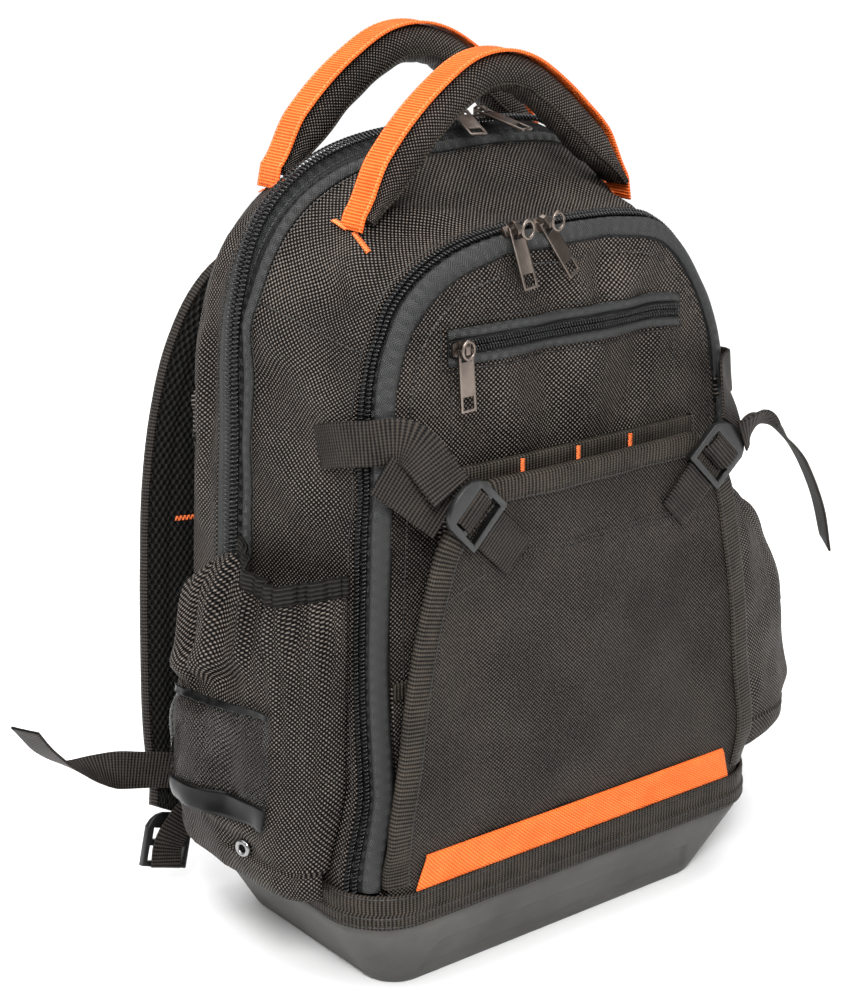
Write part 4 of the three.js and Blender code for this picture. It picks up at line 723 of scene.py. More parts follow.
STITCH = np.array([(0, c, s) for c, s in ((1, 0), (0.3, 0.8), (-0.3, 0.8), (-1, 0))], float)
STITCH_FACES = [[0, 1, 5, 4], [1, 2, 6, 5], [2, 3, 7, 6]]


def stitches(name, seams, thread, pitch=3.4, length=2.5, wide=0.42, high=0.45):
    """Thread along seams: each seam is its path and the way its cloth faces."""
    parts = []
    for path, normal in seams:
        run = lengths(path)
        count = max(int(run[-1] / pitch), 1)
        at = (np.arange(count) + 0.5) * run[-1] / count
        place, ahead, behind = (sample(at + k, run, path) for k in (0, 0.5, -0.5))
        normal = np.broadcast_to(np.asarray(normal, float), path.shape)
        up = unit(sample(at, run, normal))
        along = unit(ahead - behind)
        side = unit(np.cross(up, along))
        for q, a, s, u in zip(place, along, side, up):
            ring = STITCH[:, 1:2] * s * wide + STITCH[:, 2:3] * u * high
            body = np.concatenate([q - a * length / 2 + ring, q + a * length / 2 + ring])
            parts.append((body, STITCH_FACES))
    return joined(name, parts, thread)


def bar_tack(start, end, normal, wide=3.0, turns=9, thick=0.5):
    """A dense zigzag of thread that locks webbing down, as one raised bar."""
    start, end, up = np.array(start, float), np.array(end, float), unit(normal)
    along = end - start
    side = unit(np.cross(up, along)) * wide / 2
    t = np.linspace(0, 1, turns * 4 + 1)
    path = start + t[:, None] * along
    path += side * np.sign(np.sin(np.arange(len(t)) * np.pi / 2 + 0.6))[:, None]
    path += up * 0.35
    way = unit(np.gradient(path, axis=0))
    b = unit(np.cross(way, up))
    rings = cord(path, b, np.cross(b, way), thick, 4)
    return rings.reshape(-1, 3), grid_faces(len(path), 4, 0, True).tolist()


def coil(name, path, out, side, finish, shift, pitch=2.3, wide=3.1, high=2.3, wire=0.52):
    """One row of a coil zip: a wound monofilament along its tape."""
    run = lengths(path)
    steps = int(run[-1] / pitch * 9)
    at = np.linspace(0, run[-1], steps)
    out, side = (np.broadcast_to(way, path.shape) for way in (out, side))
    centre, up, aside = (sample(at, run, rows) for rows in (path, out, side))
    up, aside = unit(up), unit(aside)
    turn = (2 * np.pi / pitch * at)[:, None]
    line = centre + aside * (shift + wide / 2 * np.cos(turn)) + up * high / 2 * (1 + np.sin(turn))
    way = unit(np.gradient(line, axis=0))
    b = unit(np.cross(way, up))
    rings = cord(line, b, np.cross(b, way), wire, 5)
    return piece_from(name, rings.reshape(-1, 3), grid_faces(steps, 5, 0, True), finish)


def finished_copy(node, finish, bevel, segments):
    """A hard piece of the frame with its edges rounded as moulding or casting leaves them."""
    source = frame["nodes"][node]
    mesh = source.data.copy()
    mesh.materials.clear()
    made = placed(node + "_finished", mesh)
    weld = made.modifiers.new("weld", "WELD")
    weld.merge_threshold = 0.00002
    plain = made.modifiers.new("plain", "DECIMATE")
    plain.decimate_type = "DISSOLVE"
    plain.angle_limit = math.radians(4)
    edge = made.modifiers.new("edge", "BEVEL")
    edge.width = bevel / 1000
    edge.segments = segments
    edge.limit_method = "ANGLE"
    edge.angle_limit = math.radians(28)
    bpy.context.view_layer.update()
    graph = bpy.context.evaluated_depsgraph_get()
    whole = bpy.data.meshes.new_from_object(made.evaluated_get(graph))
    made.modifiers.clear()
    made.data = whole
    whole.materials.clear()
    whole.materials.append(finish)
    whole.polygons.foreach_set("use_smooth", [True] * len(whole.polygons))
    whole.set_sharp_from_angle(angle=math.radians(40))
    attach(made, "root")
    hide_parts(node)
    return made


# ---------------------------------------------------------------- materials
def colour(code):
    """An sRGB hex colour as linear light."""
    channels = [int(code[i : i + 2], 16) / 255 for i in (1, 3, 5)]
    linear = [c / 12.92 if c <= 0.04045 else ((c + 0.055) / 1.055) ** 2.4 for c in channels]
    return (*linear, 1.0)


def add(tree, kind, values=None, links=None, **settings):
    """Adds a shader node with its settings, its values and the sockets that feed it."""
    made = tree.nodes.new("ShaderNode" + kind)
    for key, value in settings.items():
        setattr(made, key, value)
    for key, value in (values or {}).items():
        made.inputs[key].default_value = value
    for key, source in (links or {}).items():
        tree.links.new(source, made.inputs[key])
    return made


def begin(name, slot, **shader):
    material = bpy.data.materials.new(name)
    material.use_nodes = True
    tree = material.node_tree
    tree.nodes.clear()
    values = {key.replace("_", " "): value for key, value in shader.items()}
    surface = add(tree, "BsdfPrincipled", values)
    add(tree, "OutputMaterial", links={"Surface": surface.outputs[0]})
    material["slot"] = slot
    return material, tree, surface


def ramp(tree, factor, stops):
    made = add(tree, "ValToRGB", links={"Fac": factor})
    for k, (place, code) in enumerate(stops):
        stop = made.color_ramp.elements[k] if k < 2 else made.color_ramp.elements.new(place)
        stop.position = place
        stop.color = colour(code) if isinstance(code, str) else (code, code, code, 1)
    return made.outputs["Color"]


def laid(tree):
    """Where a point lies on the laid-out cloth, in metres."""
    place = add(tree, "UVMap", uv_map="cloth")
    parts = add(tree, "SeparateXYZ", links={"Vector": place.outputs["UV"]})
    return parts.outputs["X"], parts.outputs["Y"]


def calc(tree, kind, first, second):
    """One step of arithmetic on two sockets or plain numbers."""
    values, links = {}, {}
    for key, source in ((0, first), (1, second)):
        (links if hasattr(source, "links") else values)[key] = source
    return add(tree, "Math", values, links, operation=kind).outputs[0]


def lifted(tree, wave, share):
    """A wave scaled down and moved to lie round one half."""
    return calc(tree, "ADD", calc(tree, "MULTIPLY", wave, share), 0.5)


def wander(tree, noise, share):
    """Noise moved to lie round nought, and scaled."""
    return calc(tree, "MULTIPLY", calc(tree, "SUBTRACT", noise, 0.5), share)


def painted(tree, surface, factor, stops):
    tree.links.new(ramp(tree, factor, stops), surface.inputs["Base Color"])


def creased(tree, noise, distance_mm, strength):
    """The way a cloth's face turns where it wrinkles, for a finer bump to lie on."""
    values = {"Strength": strength, "Distance": distance_mm / 1000}
    return add(tree, "Bump", values, {"Height": noise}).outputs["Normal"]


def threads(tree, place, spacing, phase=0.0):
    """A wave with one crest for each thread, threads lying `spacing` millimetres apart."""
    turn = calc(tree, "MULTIPLY", place, 2 * math.pi * 1000 / spacing)
    return calc(tree, "SINE", calc(tree, "ADD", turn, phase), 0.0)


def cloud(tree, scale_mm, detail=3.0, roughness=0.55):
    where = add(tree, "TexCoord").outputs["Object"]
    values = {"Scale": 1000 / scale_mm, "Detail": detail, "Roughness": roughness}
    return add(tree, "TexNoise", values, {"Vector": where}).outputs["Fac"]


def bumped(tree, surface, height, distance_mm, strength=1.0, under=None):
    links = {"Height": height}
    if under is not None:
        links["Normal"] = under
    made = add(tree, "Bump", {"Strength": strength, "Distance": distance_mm / 1000}, links)
    tree.links.new(made.outputs["Normal"], surface.inputs["Normal"])


def woven(name, slot, dark, light, spacing, wrinkle=5.5, low=0.52):
    """Coarse basket weave: yarns that cross over and under each other, their crests painted pale,
    partly the yarns' own two tones and partly painted glints of light, which gives pale flecks on a
    dark ground, with soft wrinkles from the pack's filling."""
    material, tree, surface = begin(name, slot, Roughness=0.5, Specular_IOR_Level=0.1)
    u, v = laid(tree)
    slow = cloud(tree, 60, 2.0)
    u = calc(tree, "ADD", u, calc(tree, "MULTIPLY", slow, 0.004))
    weave = calc(tree, "MULTIPLY", threads(tree, u, spacing), threads(tree, v, spacing, 0.4))
    drift = calc(tree, "ADD", wander(tree, slow, 0.35), wander(tree, cloud(tree, 2.0, 2.0), 0.3))
    crest_glints_and_drift = calc(tree, "ADD", lifted(tree, weave, 0.5), drift)
    # painted highlight: the weave's crests take the pale colour as glints of light, mixed with
    # random tone drift
    painted(tree, surface, crest_glints_and_drift, [(low, dark), (1.0, light)])
    bumped(tree, surface, weave, 0.5, 1.0, creased(tree, cloud(tree, 38, 3.0, 0.5), wrinkle, 0.8))
    return material


def ribbed(name, slot, dark, light, along, across, share=0.7, depth=0.3, slant=0.0):
    """Flat woven tape: ribs along or across it, in millimetres apart, set by the loom."""
    material, tree, surface = begin(name, slot, Roughness=0.5, Specular_IOR_Level=0.12)
    u, v = laid(tree)
    if slant:
        v = calc(tree, "ADD", v, calc(tree, "MULTIPLY", u, slant))
    ribs = calc(tree, "MULTIPLY", threads(tree, v, across), share)
    both = calc(tree, "ADD", ribs, calc(tree, "MULTIPLY", threads(tree, u, along), 1 - share))
    mottled = calc(tree, "ADD", lifted(tree, both, 0.5), wander(tree, cloud(tree, 14), 0.6))
    painted(tree, surface, mottled, [(0.2, dark), (0.95, light)])
    bumped(tree, surface, both, depth, 0.9, creased(tree, cloud(tree, 26, 2.0), 1.4, 0.6))
    return material


def herringbone(name, slot, dark, light):
    """Polyester zip tape in a herringbone: two slants of fine ribs that meet in lines."""
    material, tree, surface = begin(name, slot, Roughness=0.45, Specular_IOR_Level=0.25)
    u, v = laid(tree)
    zigzag = add(tree, "Math", {1: 0.0035}, {0: v}, operation="PINGPONG").outputs[0]
    ribs = threads(tree, calc(tree, "ADD", u, zigzag), 1.5)
    painted(tree, surface, lifted(tree, ribs, 0.4), [(0.05, dark), (0.95, light)])
    bumped(tree, surface, ribs, 0.25, 0.8)
    return material


def hard(name, slot, dark, light, roughness, metallic, grain, depth, spread=0.12, **more):
    """A moulded or cast surface: fine grain, a little colour drift, and uneven gloss."""
    material, tree, surface = begin(name, slot, Metallic=metallic, **more)
    drift = cloud(tree, 35, 4.0, 0.6)
    fine = cloud(tree, grain, 2.0)
    painted(tree, surface, drift, [(0.3, dark), (0.72, light)])
    limits = {"To Min": roughness - spread, "To Max": roughness + spread}
    gloss = add(tree, "MapRange", limits, {"Value": drift}).outputs[0]
    tree.links.new(gloss, surface.inputs["Roughness"])
    bumped(tree, surface, fine, depth, 0.8)
    return material


def open_mesh(name, slot, dark, light, spacing):
    """Knitted spacer mesh: rows of small open holes over a dark layer."""
    material, tree, surface = begin(name, slot, Roughness=0.75, Specular_IOR_Level=0.15)
    u, v = laid(tree)
    row = threads(tree, u, spacing)
    cell = calc(tree, "MULTIPLY", row, threads(tree, v, spacing * 1.5))
    painted(tree, surface, lifted(tree, cell, 0.5), [(0.35, dark), (0.75, light)])
    bumped(tree, surface, cell, 1.2, 1.0)
    return material


# 1680-denier ballistic nylon: near-black yarn with pale brown-grey glints on its crests
ballistic_nylon = woven("ballistic_nylon", "ballistic_nylon", "#020101", "#80766e", 2.7)
# The flap's cloth has a finer weave, so its flecks run together into brown
flap_nylon = woven("flap_nylon", "ballistic_nylon", "#060504", "#5c544e", 2.4, 2.5, 0.4)
# The same cloth where it is pulled tight round foam
handle_nylon = woven("handle_nylon", "ballistic_nylon", "#040303", "#7b7068", 2.3, 1.2)
# Polyester webbing: brown-black, finely ribbed across, with a soft shine
dark_webbing = ribbed("polyester_webbing", "dark_webbing", "#040303", "#3c3631", 1.7, 2.1)
# Grosgrain bindings: finer ribs across their width
grosgrain = ribbed("grosgrain_binding", "dark_webbing", "#050403", "#463f38", 1.5, 2.3)
# Dyed orange grosgrain, cross-ribbed
orange_grosgrain = ribbed(
    "orange_grosgrain", "orange_webbing", "#d9501a", "#ff813c", 2.0, 1.8, 0.8, 0.4
)
# Dyed orange twill: ribs on a slant
orange_twill = ribbed(
    "orange_twill", "orange_webbing", "#df591f", "#ff8542", 1.6, 2.0, 0.7, 0.35, 0.8
)
# Dyed grey polyester tape of the zips
zip_tape = herringbone("polyester_zip_tape", "zip_tape", "#0e0f0f", "#303131")
# The tape right under the coil is dyed black
coil_tape = herringbone("black_coil_tape", "zip_tape", "#060606", "#151515")
# Satin-faced roll of tape beside the coil
satin_roll = herringbone("satin_roll", "satin_elastic", "#1c1d1d", "#3c3d3c")
# Elastic cuff: fine lines along it where its rubber threads lie
elastic = ribbed("woven_elastic", "satin_elastic", "#020202", "#26231f", 2.6, 40, 0.12, 0.7)
# Nylon monofilament of the coil: black and glossy, nearly smooth
monofilament = hard(
    "nylon_monofilament", "zip_tape", "#050505", "#0e0e0e", 0.28, 0, 1.5, 0.02, 0.06
)
# Acetal buckles: moulded, black, satin
acetal = hard("moulded_acetal", "black_plastic", "#080808", "#131313", 0.36, 0, 1.2, 0.02, 0.08)
# Polypropylene base: moulded grey with a fine spark-eroded grain
polypropylene = hard(
    "moulded_polypropylene", "moulded_base", "#383735", "#4c4b48", 0.58, 0, 1.1, 0.09, 0.06,
    Specular_IOR_Level=0.25,
)
# Die-cast zinc, plated in antique nickel: warm grey metal with a soft brushed gloss
antique_nickel = hard("antique_nickel", "gunmetal", "#544a44", "#8f847c", 0.36, 1.0, 1.4, 0.05, 0.1)
# Plated brass eyelet
bright_nickel = hard("bright_nickel", "gunmetal", "#6d6d6d", "#b4b4b4", 0.28, 1.0, 1.4, 0.02, 0.06)
# Bonded polyester thread
black_thread = hard("black_thread", "dark_webbing", "#0a0908", "#22201e", 0.5, 0, 0.8, 0.02)
orange_thread = hard("orange_thread", "orange_webbing", "#ee6a28", "#ff8c4c", 0.55, 0, 0.8, 0.05)
# Black knitted mesh over foam
spacer_mesh = open_mesh("spacer_mesh", "spacer_mesh", "#020202", "#242220", 4.2)
# Black vinyl trim of the window
black_vinyl = hard(
    "black_vinyl",
    "black_plastic",
    "#020202",
    "#080808",
    0.3,
    0,
    6,
    0.1,
    0.06,
    Specular_IOR_Level=0.2,
)
# Clear vinyl sheet: glossy, thin, a little wavy, so the dark cloth shows under its glints
clear_vinyl, tree, surface = begin(
    "clear_vinyl", "clear_sheet", Roughness=0.2, IOR=1.5, Alpha=0.34, Specular_IOR_Level=0.3
)
painted(tree, surface, cloud(tree, 30, 1.0), [(0.45, "#070707"), (0.85, "#3a3b3b")])
bumped(tree, surface, cloud(tree, 40, 0.0, 0.3), 4.0, 0.5)
# Painted shade: a very dark matte disc in each eyelet's hole, for the cloth inside the pocket
# painted darker for the shade it lies in
hole_shade, tree, surface = begin(
    "eyelet_hole_shade", "ballistic_nylon", Roughness=0.9, Specular_IOR_Level=0.1
)
painted(tree, surface, cloud(tree, 8), [(0.3, "#030303"), (0.8, "#0c0b0a")])


# ---------------------------------------------------------------- moulded base and its band
def base_ring(z, taper, outset, turns=20):
    half = TRAY_WIDTH / 2 - TRAY_FOOT_INSET * taper + outset
    front = TRAY_FRONT_Y + TRAY_FOOT_FRONT_INSET * taper - outset
    back = TRAY_BACK_Y - TRAY_FOOT_BACK_INSET * taper + outset
    corner = mix(TRAY_CORNER, TRAY_FOOT_CORNER, taper) + outset
    centres = [
        (half - corner, front + corner, -90),
        (half - corner, back - corner, 0),
        (corner - half, back - corner, 90),
        (corner - half, front + corner, 180),
    ]
    ring = []
    for x, y, turn in centres:
        for degrees in np.linspace(turn, turn + 90, turns + 1):
            a = math.radians(degrees)
            ring.append((x + corner * math.cos(a), y + corner * math.sin(a), z))
    return np.array(ring)


def around_base(z, taper, outset, spacing=3.0):
    ring = base_ring(z, taper, outset)
    ring = np.concatenate([ring, ring[:1]])
    return evenly(ring, int(960 / spacing))[:-1]


TRAY_ROWS = table(
    "up taper",
    (0, 1.06),
    (0.01, 1.02),
    (0.035, 0.97),
    (0.07, 0.92),
    (0.12, 0.86),
    (0.86, 0.04),
    (0.93, 0.01),
    (1, 0),
)


def make_tray():
    foot = [0, 0.01, 0.035, 0.07, 0.12]
    shares = np.concatenate([foot, np.linspace(0.14, 0.86, 26), [0.9, 0.95, 1]])
    rings = []
    for up in shares:
        taper = float(np.interp(up, [r["up"] for r in TRAY_ROWS], [r["taper"] for r in TRAY_ROWS]))
        ring = around_base(up * TRAY_HEIGHT, taper, 0, 2.0)
        z, x = ring[:, 2], ring[:, 0]
        # a shallow recess in the front, narrower at its top
        half = mix(109, 101, np.clip((z - 8) / 20, 0, 1))
        inside = ease((half - np.abs(x)) / 2.5) * ease((z - 7.5) / 2.5) * ease((30 - z) / 2.5)
        ring[:, 1] += 1.6 * inside * (ring[:, 1] < -60)
        rings.append(ring)
    under = rings[0] * [0.93, 0.93, 1]
    return tube("tray", [under] + rings, polypropylene, ["base_tray"])


make_tray()


def make_band():
    """Webbing round the seam: a wide strip above and a narrower stepped one at its foot."""
    seam = BAND_LOW + 9
    section = [
        (BAND_LOW + 0.3, 0.4),
        (BAND_TOP - 0.4, 0.4),
        (BAND_TOP, 1.2),
        (BAND_TOP - 0.4, BAND_THICKNESS),
        (seam + 5, BAND_THICKNESS + 0.1),
        (seam + 0.6, BAND_THICKNESS - 0.1),
        (seam, BAND_THICKNESS + BAND_STEP - 0.1),
        (seam - 0.8, BAND_THICKNESS + BAND_STEP + 0.1),
        (BAND_LOW + 0.6, BAND_THICKNESS + BAND_STEP),
        (BAND_LOW, BAND_THICKNESS),
    ]
    rings = np.stack([around_base(z, 0, out) for z, out in section], 1)
    rings = np.concatenate([rings, rings[:1]])
    lumps = 0.35 * ripple(rings, 46, 5)
    rings += lumps[..., None] * unit((rings - TRAY_CENTRE) * [1, 1, 0])
    return tube("band", rings, grosgrain, ["base_band"], ends=False)


make_band()
seams = []
step_out = BAND_THICKNESS + BAND_STEP + 0.2
rows = [(BAND_LOW + 2.2, step_out), (BAND_LOW + 7.4, step_out)]
for z, out in rows + [(BAND_TOP - 2, BAND_THICKNESS + 0.15)]:
    ring = around_base(z, 0, out)
    ring = np.concatenate([ring, ring[:1]])
    seams.append((ring, unit((ring - TRAY_CENTRE) * [1, 1, 0])))
stitches("band_stitches", seams, black_thread, 3.6, 2.6)


# ---------------------------------------------------------------- cloth shells
def uneven(grid, size, high, seed, hold=0.06):
    """Small folds over a grid of cloth, held flat along its edges."""
    rows, columns = grid.shape[:2]
    s = np.linspace(0, 1, columns)[None]
    t = np.linspace(0, 1, rows)[:, None]
    free = ease(np.minimum(s, 1 - s) / hold) * ease(np.minimum(t, 1 - t) / hold)
    height = high * ripple(grid, size, seed) * free
    return grid + height[..., None] * normals_of(grid)


def gusset(first, last, rows):
    return settled(np.stack([arch(y) for y in np.linspace(first, last, rows)]))


tape = ZIP_TAPE / 2
rear_gusset = uneven(gusset(MAIN_ZIP_Y + tape + SEAM_GAP, BACK_Y, 22), 34, 0.8, 3, 0.12)
back_panel = settled(arch_panel(arch(BACK_Y), back_y))
cloth("rear_cloth", [rear_gusset, back_panel], ballistic_nylon, ["rear_shell"], flat=(1,))

middle_gusset = gusset(MAIN_ZIP_Y - tape - SEAM_GAP - 1, GUSSET_FRONT_Y + SEAM_GAP, 44)
middle_gusset = uneven(middle_gusset, 40, 0.9, 7, 0.1)
cloth("middle_cloth", [middle_gusset], ballistic_nylon, ["middle_shell"])

SHOWN_INSET = 7.6
front_edge = arch(FRONT_ZIP_Y, SHOWN_INSET) - [0, PANEL_SETBACK, 0]
front_panel = uneven(settled(arch_panel(front_edge, face_y)), 36, 0.9, 11, 0.06)
cloth("front_cloth", [front_panel], ballistic_nylon, ["front_shell"], flat=(0,))


# ---------------------------------------------------------------- zips
def strip_along(name, section, arc_of, finish, replaces=(), wave=0.0, seed=1):
    """A strip of tape along an arch: each place of its section is a depth and an inset."""
    lines = settled(np.stack([arc_of(*place) for place in section], 1))
    if wave:
        centre = np.array([0, -20, 250])
        lines += (wave * ripple(lines, 30, seed))[..., None] * unit(lines - centre)
    return tube(name, lines, finish, replaces)


def main_arc(y, inset):
    return arch(MAIN_ZIP_Y + y, inset, ZIP_LOW)


strip_along(
    "main_tape",
    [(tape, 0), (4, 0), (3.6, -0.3), (-3.6, -0.3), (-4, 0), (-tape, 0), (-tape, 1.4), (tape, 1.4)],
    main_arc,
    zip_tape,
    ["main_zip"],
)
strip_along(
    "main_coil_tape",
    [(5.2, -0.2), (4.9, -0.5), (-11.4, -0.5), (-11.6, -0.2)],
    main_arc,
    coil_tape,
)


def rounded(half, height, turns=9):
    """Section of a half-round roll, from one side over its top to the other."""
    angle = np.linspace(0, np.pi, turns)
    return [(half * math.cos(a), -height * math.sin(a) - 0.4) for a in angle]


strip_along(
    "main_roll",
    rounded(3.0, 2.6),
    lambda y, inset: main_arc(y - tape - 0.4, inset),
    satin_roll,
    ["main_piping"],
    0.25,
    4,
)
front_tape = [
    (GUSSET_FRONT_Y, 0),
    (FRONT_ZIP_Y + 3.2, -0.1),
    (FRONT_ZIP_Y - 0.5, -0.1),
    (FRONT_ZIP_Y - 3, 1.0),
    (FRONT_ZIP_Y - 3.8, 3.2),
    (PANEL_Y - 0.4, PANEL_INSET - 2),
    (PANEL_Y + 1.4, PANEL_INSET - 1),
    (FRONT_ZIP_Y - 1.4, 3),
    (FRONT_ZIP_Y + 3.5, 1.6),
    (GUSSET_FRONT_Y, 1.6),
]
strip_along("front_tape", front_tape, front_corner, coil_tape, ["front_zip"])
front_roll = [
    (FRONT_ZIP_Y + 0.8, 0.6),
    (FRONT_ZIP_Y - 0.4, -0.9),
    (FRONT_ZIP_Y - 2.2, -1.3),
    (FRONT_ZIP_Y - 4.2, -0.4),
    (FRONT_ZIP_Y - 6.0, 1.4),
    (FRONT_ZIP_Y - 7.2, 3.8),
    (FRONT_ZIP_Y - 7.4, 6.2),
    (FRONT_ZIP_Y - 6.6, 8.2),
    (FRONT_ZIP_Y - 5.4, 9.0),
    (FRONT_ZIP_Y - 3.6, 5.0),
]
strip_along(
    "front_roll",
    front_roll,
    lambda y, inset: front_corner(y, inset, BAND_TOP + 2),
    satin_roll,
    ["front_piping"],
    0.25,
    6,
)


def arch_frame(y, inset, low=ZIP_LOW):
    """Path, outward way and sideways way of a line that follows the arch."""
    path, outer = settled(arch(y, inset, low)), settled(arch(y, inset - 1, low))
    out = unit(outer - path)
    return path, out, unit(np.cross(out, unit(np.gradient(path, axis=0))))


path, out, side = arch_frame(MAIN_ZIP_Y, -0.7)
# below the top the cloth pulls the coil forward
path[:, 1] -= 4 * (1 - ease((path[:, 2] - 395) / 50))
sizes = dict(pitch=2.6, wide=4.6, high=2.4, wire=0.72)
for row, shift in (("a", 3.2), ("b", -3.2)):
    coil("main_coil_" + row, path, out, side, monofilament, shift, **sizes)
sizes = dict(pitch=2.3, wide=3.2, high=2.2, wire=0.6)
for row, y in (("a", FRONT_ZIP_Y + 7), ("b", FRONT_ZIP_Y + 2.9)):
    coil("front_coil_" + row, *arch_frame(y, -0.4), monofilament, 0, **sizes)

# The short zip across the front panel, with rolled tape above and below it
x = np.linspace(-POCKET_ZIP_WIDTH / 2, POCKET_ZIP_WIDTH / 2, 60)


def on_panel(x, z, lift):
    x, z = np.broadcast_arrays(np.asarray(x, float), np.asarray(z, float))
    return settled(np.stack([x, face_y(x, z) - lift, z], -1))


section = ((10, 1.2), (6, 1.4), (0, 1.3), (-6, 1.4), (-10, 1.2))
pocket_tape = np.stack([on_panel(x, POCKET_ZIP_Z + up, lift) for up, lift in section])
cloth("pocket_tape", [pocket_tape], coil_tape, ["pocket_zip"], thickness=1.2)
for name, shift, high in (("upper", 7.4, 2.2), ("lower", -7.4, 1.4)):
    rows = [(2.7 * math.cos(a), high * math.sin(a)) for a in np.linspace(0, np.pi, 7)]
    rings = [on_panel(x, POCKET_ZIP_Z + shift + up, 1.4 + lift) for up, lift in rows]
    tube("pocket_roll_" + name, np.stack(rings, 1), satin_roll)
path = on_panel(x, POCKET_ZIP_Z, 1.5)
front, up = (0, -1.0, 0), (0, 0, 1.0)
sizes = dict(pitch=1.9, wide=2.9, high=2.0)
for row, shift in (("a", 1.8), ("b", -1.8)):
    coil("pocket_coil_" + row, path, front, up, monofilament, shift, **sizes)


# ---------------------------------------------------------------- tool pocket and flap
def tool_out(z):
    return TOOL_POCKET_DEPTH * mix(0.25, 1, ease((z - HEM_Z) / 150))


# The pocket's sides turn in to the panel over their last few shares
edge = np.array([1.035, 1.03, 1.02, 1.0])
aside = np.concatenate([-edge, np.linspace(-0.97, 0.97, 70), edge[::-1]])
off = np.concatenate([[0, 0.3, 0.6, 0.9], np.ones(70), [0.9, 0.6, 0.3, 0]])


def tool_row(z, share=None):
    x = (aside if share is None else share) * TOOL_POCKET_WIDTH / 2
    o = off if share is None else np.ones_like(x)
    y = face_y(x, z) - GAP - 0.4 - CLOTH * (1 - o) - o * tool_out(z)
    return np.stack([x, y, np.full_like(x, z)], 1)


tool_grid = drooped(np.stack([tool_row(z) for z in np.linspace(HEM_Z, TOOL_POCKET_TOP, 60)]))
tool_grid = uneven(tool_grid, 38, 0.8, 21, 0.08)
cloth("tool_cloth", [tool_grid], ballistic_nylon, ["tool_pocket"], flat=(0,))
row = drooped(tool_row(TOOL_POCKET_TOP, np.linspace(-0.95, 0.95, 60)))
section = [(-11, -1.9), (-4, -1.8), (0.6, -1.7), (1.5, -0.6), (1.6, 1.2), (1.2, 3.4), (-7, 3.6)]
section += [(-7, 2.6), (0, 2.4), (0.4, -0.5), (-11, -0.6)]
binding = []
for up, out_by in section:
    line = row.copy()
    line[:, 1] += out_by
    line[:, 2] = TOOL_POCKET_TOP + up
    binding.append(line)
tube("tool_binding", np.stack(binding, 1), grosgrain, ["tool_pocket_binding"])


def flap_y(x, z):
    up = (z - BAND_TOP) / (FLAP_TOP - BAND_TOP)
    half = read(FLAP_ROWS, "up", up, "half") * FLAP_WIDTH / 2
    crown = FLAP_CROWN * (1 - (x / half) ** 2) * ease(up * 4)
    free = FLAP_FRONT_Y - FLAP_REACH * read(FLAP_ROWS, "up", up, "out") - crown
    sewn = base_front(x) + 2 * GAP
    return mix(sewn, free, ease((z - BAND_TOP) / (FLAP_WIDTH * 0.12)))


FLAP_FOLDS = table(
    "start end wide high out",
    ((-60, -134, 262), (66, -136, 250), 6, -1.4, (0, -1, 0)),
    ((-20, -134, 246), (20, -134, 160), 24, 1.8, (0, -1, 0)),
    ((-90, -130, 230), (-70, -128, 130), 16, -1.8, (0, -1, 0)),
    ((80, -130, 240), (96, -126, 130), 16, -1.6, (0, -1, 0)),
    ((-40, -138, 300), (-20, -136, 268), 12, 1.8, (0, -1, 0)),
    ((30, -138, 300), (44, -136, 270), 12, -1.6, (0, -1, 0)),
)


def on_flap(x, z, lift):
    return folded(drooped(np.stack([x, flap_y(x, z) - lift, z + 0 * x], -1)), FLAP_FOLDS)


def flap_point(s, z):
    up = (z - BAND_TOP) / (FLAP_TOP - BAND_TOP)
    reach = read(FLAP_ROWS, "up", up, "half") * FLAP_WIDTH / 2
    return on_flap(s * reach, z, 0.0)


flap_low = BAND_TOP - 0.05 * (FLAP_TOP - BAND_TOP)
s, z = np.meshgrid(np.linspace(-1, 1, 90), np.linspace(flap_low, FLAP_TOP, 90))
flap_grid = uneven(flap_point(s, z), 44, 0.7, 31, 0.08)
cloth("flap_cloth", [flap_grid], flap_nylon, ["front_flap"], flat=(0,))


def flap_edge():
    """The flap's free edge, up one side, across the top and down the other."""
    z = np.linspace(BAND_TOP + 4, FLAP_TOP, 70)
    left = np.stack([np.full_like(z, -1), z], 1)
    x = np.linspace(-1, 1, 60)[1:-1]
    top = np.stack([x, np.full_like(x, FLAP_TOP)], 1)
    return np.concatenate([left, top, left[::-1] * [-1, 1]])


def make_flap_binding():
    smooth = evenly(flap_point(*flap_edge().T), 200)[:, [0, 2]]
    for _ in range(3):
        smooth[1:-1] = (smooth[:-2] + 2 * smooth[1:-1] + smooth[2:]) / 4
    along = unit(np.gradient(smooth, axis=0))
    inward = np.stack([along[:, 1], -along[:, 0]], 1)
    for _ in range(4):
        inward[1:-1] = unit(inward[:-2] + 2 * inward[1:-1] + inward[2:])
    inner = BINDING_WIDTH * 0.6
    section = [(BINDING_WIDTH, 1.0), (BINDING_WIDTH - 0.4, 1.9), (BINDING_WIDTH * 0.5, 2.2)]
    section += [(0, 2.0), (-1.5, 1.2), (-2.2, 0), (-2.4, -CLOTH), (-1.8, -CLOTH - 1.4)]
    section += [(inner, -CLOTH - 1.6), (inner, -CLOTH - 0.7), (-0.8, -CLOTH - 0.6), (-0.6, 0.6)]
    rings = []
    for inset, out_by in section:
        held = smooth + inward * max(inset, 0)
        place = smooth + inward * inset
        y = flap_y(held[:, 0], np.minimum(held[:, 1], FLAP_TOP)) - out_by
        rings.append(np.stack([place[:, 0], y, place[:, 1]], 1))
    rings = folded(np.stack(rings, 1), FLAP_FOLDS)
    tube("flap_grosgrain", rings, grosgrain, ["flap_binding"])
    return rings


flap_rings = make_flap_binding()
seam = mix(flap_rings[:, 1], flap_rings[:, 2], 0.25) - [0, 0.25, 0]
stitches("flap_stitches", [(seam, (0, -1, 0))], black_thread)

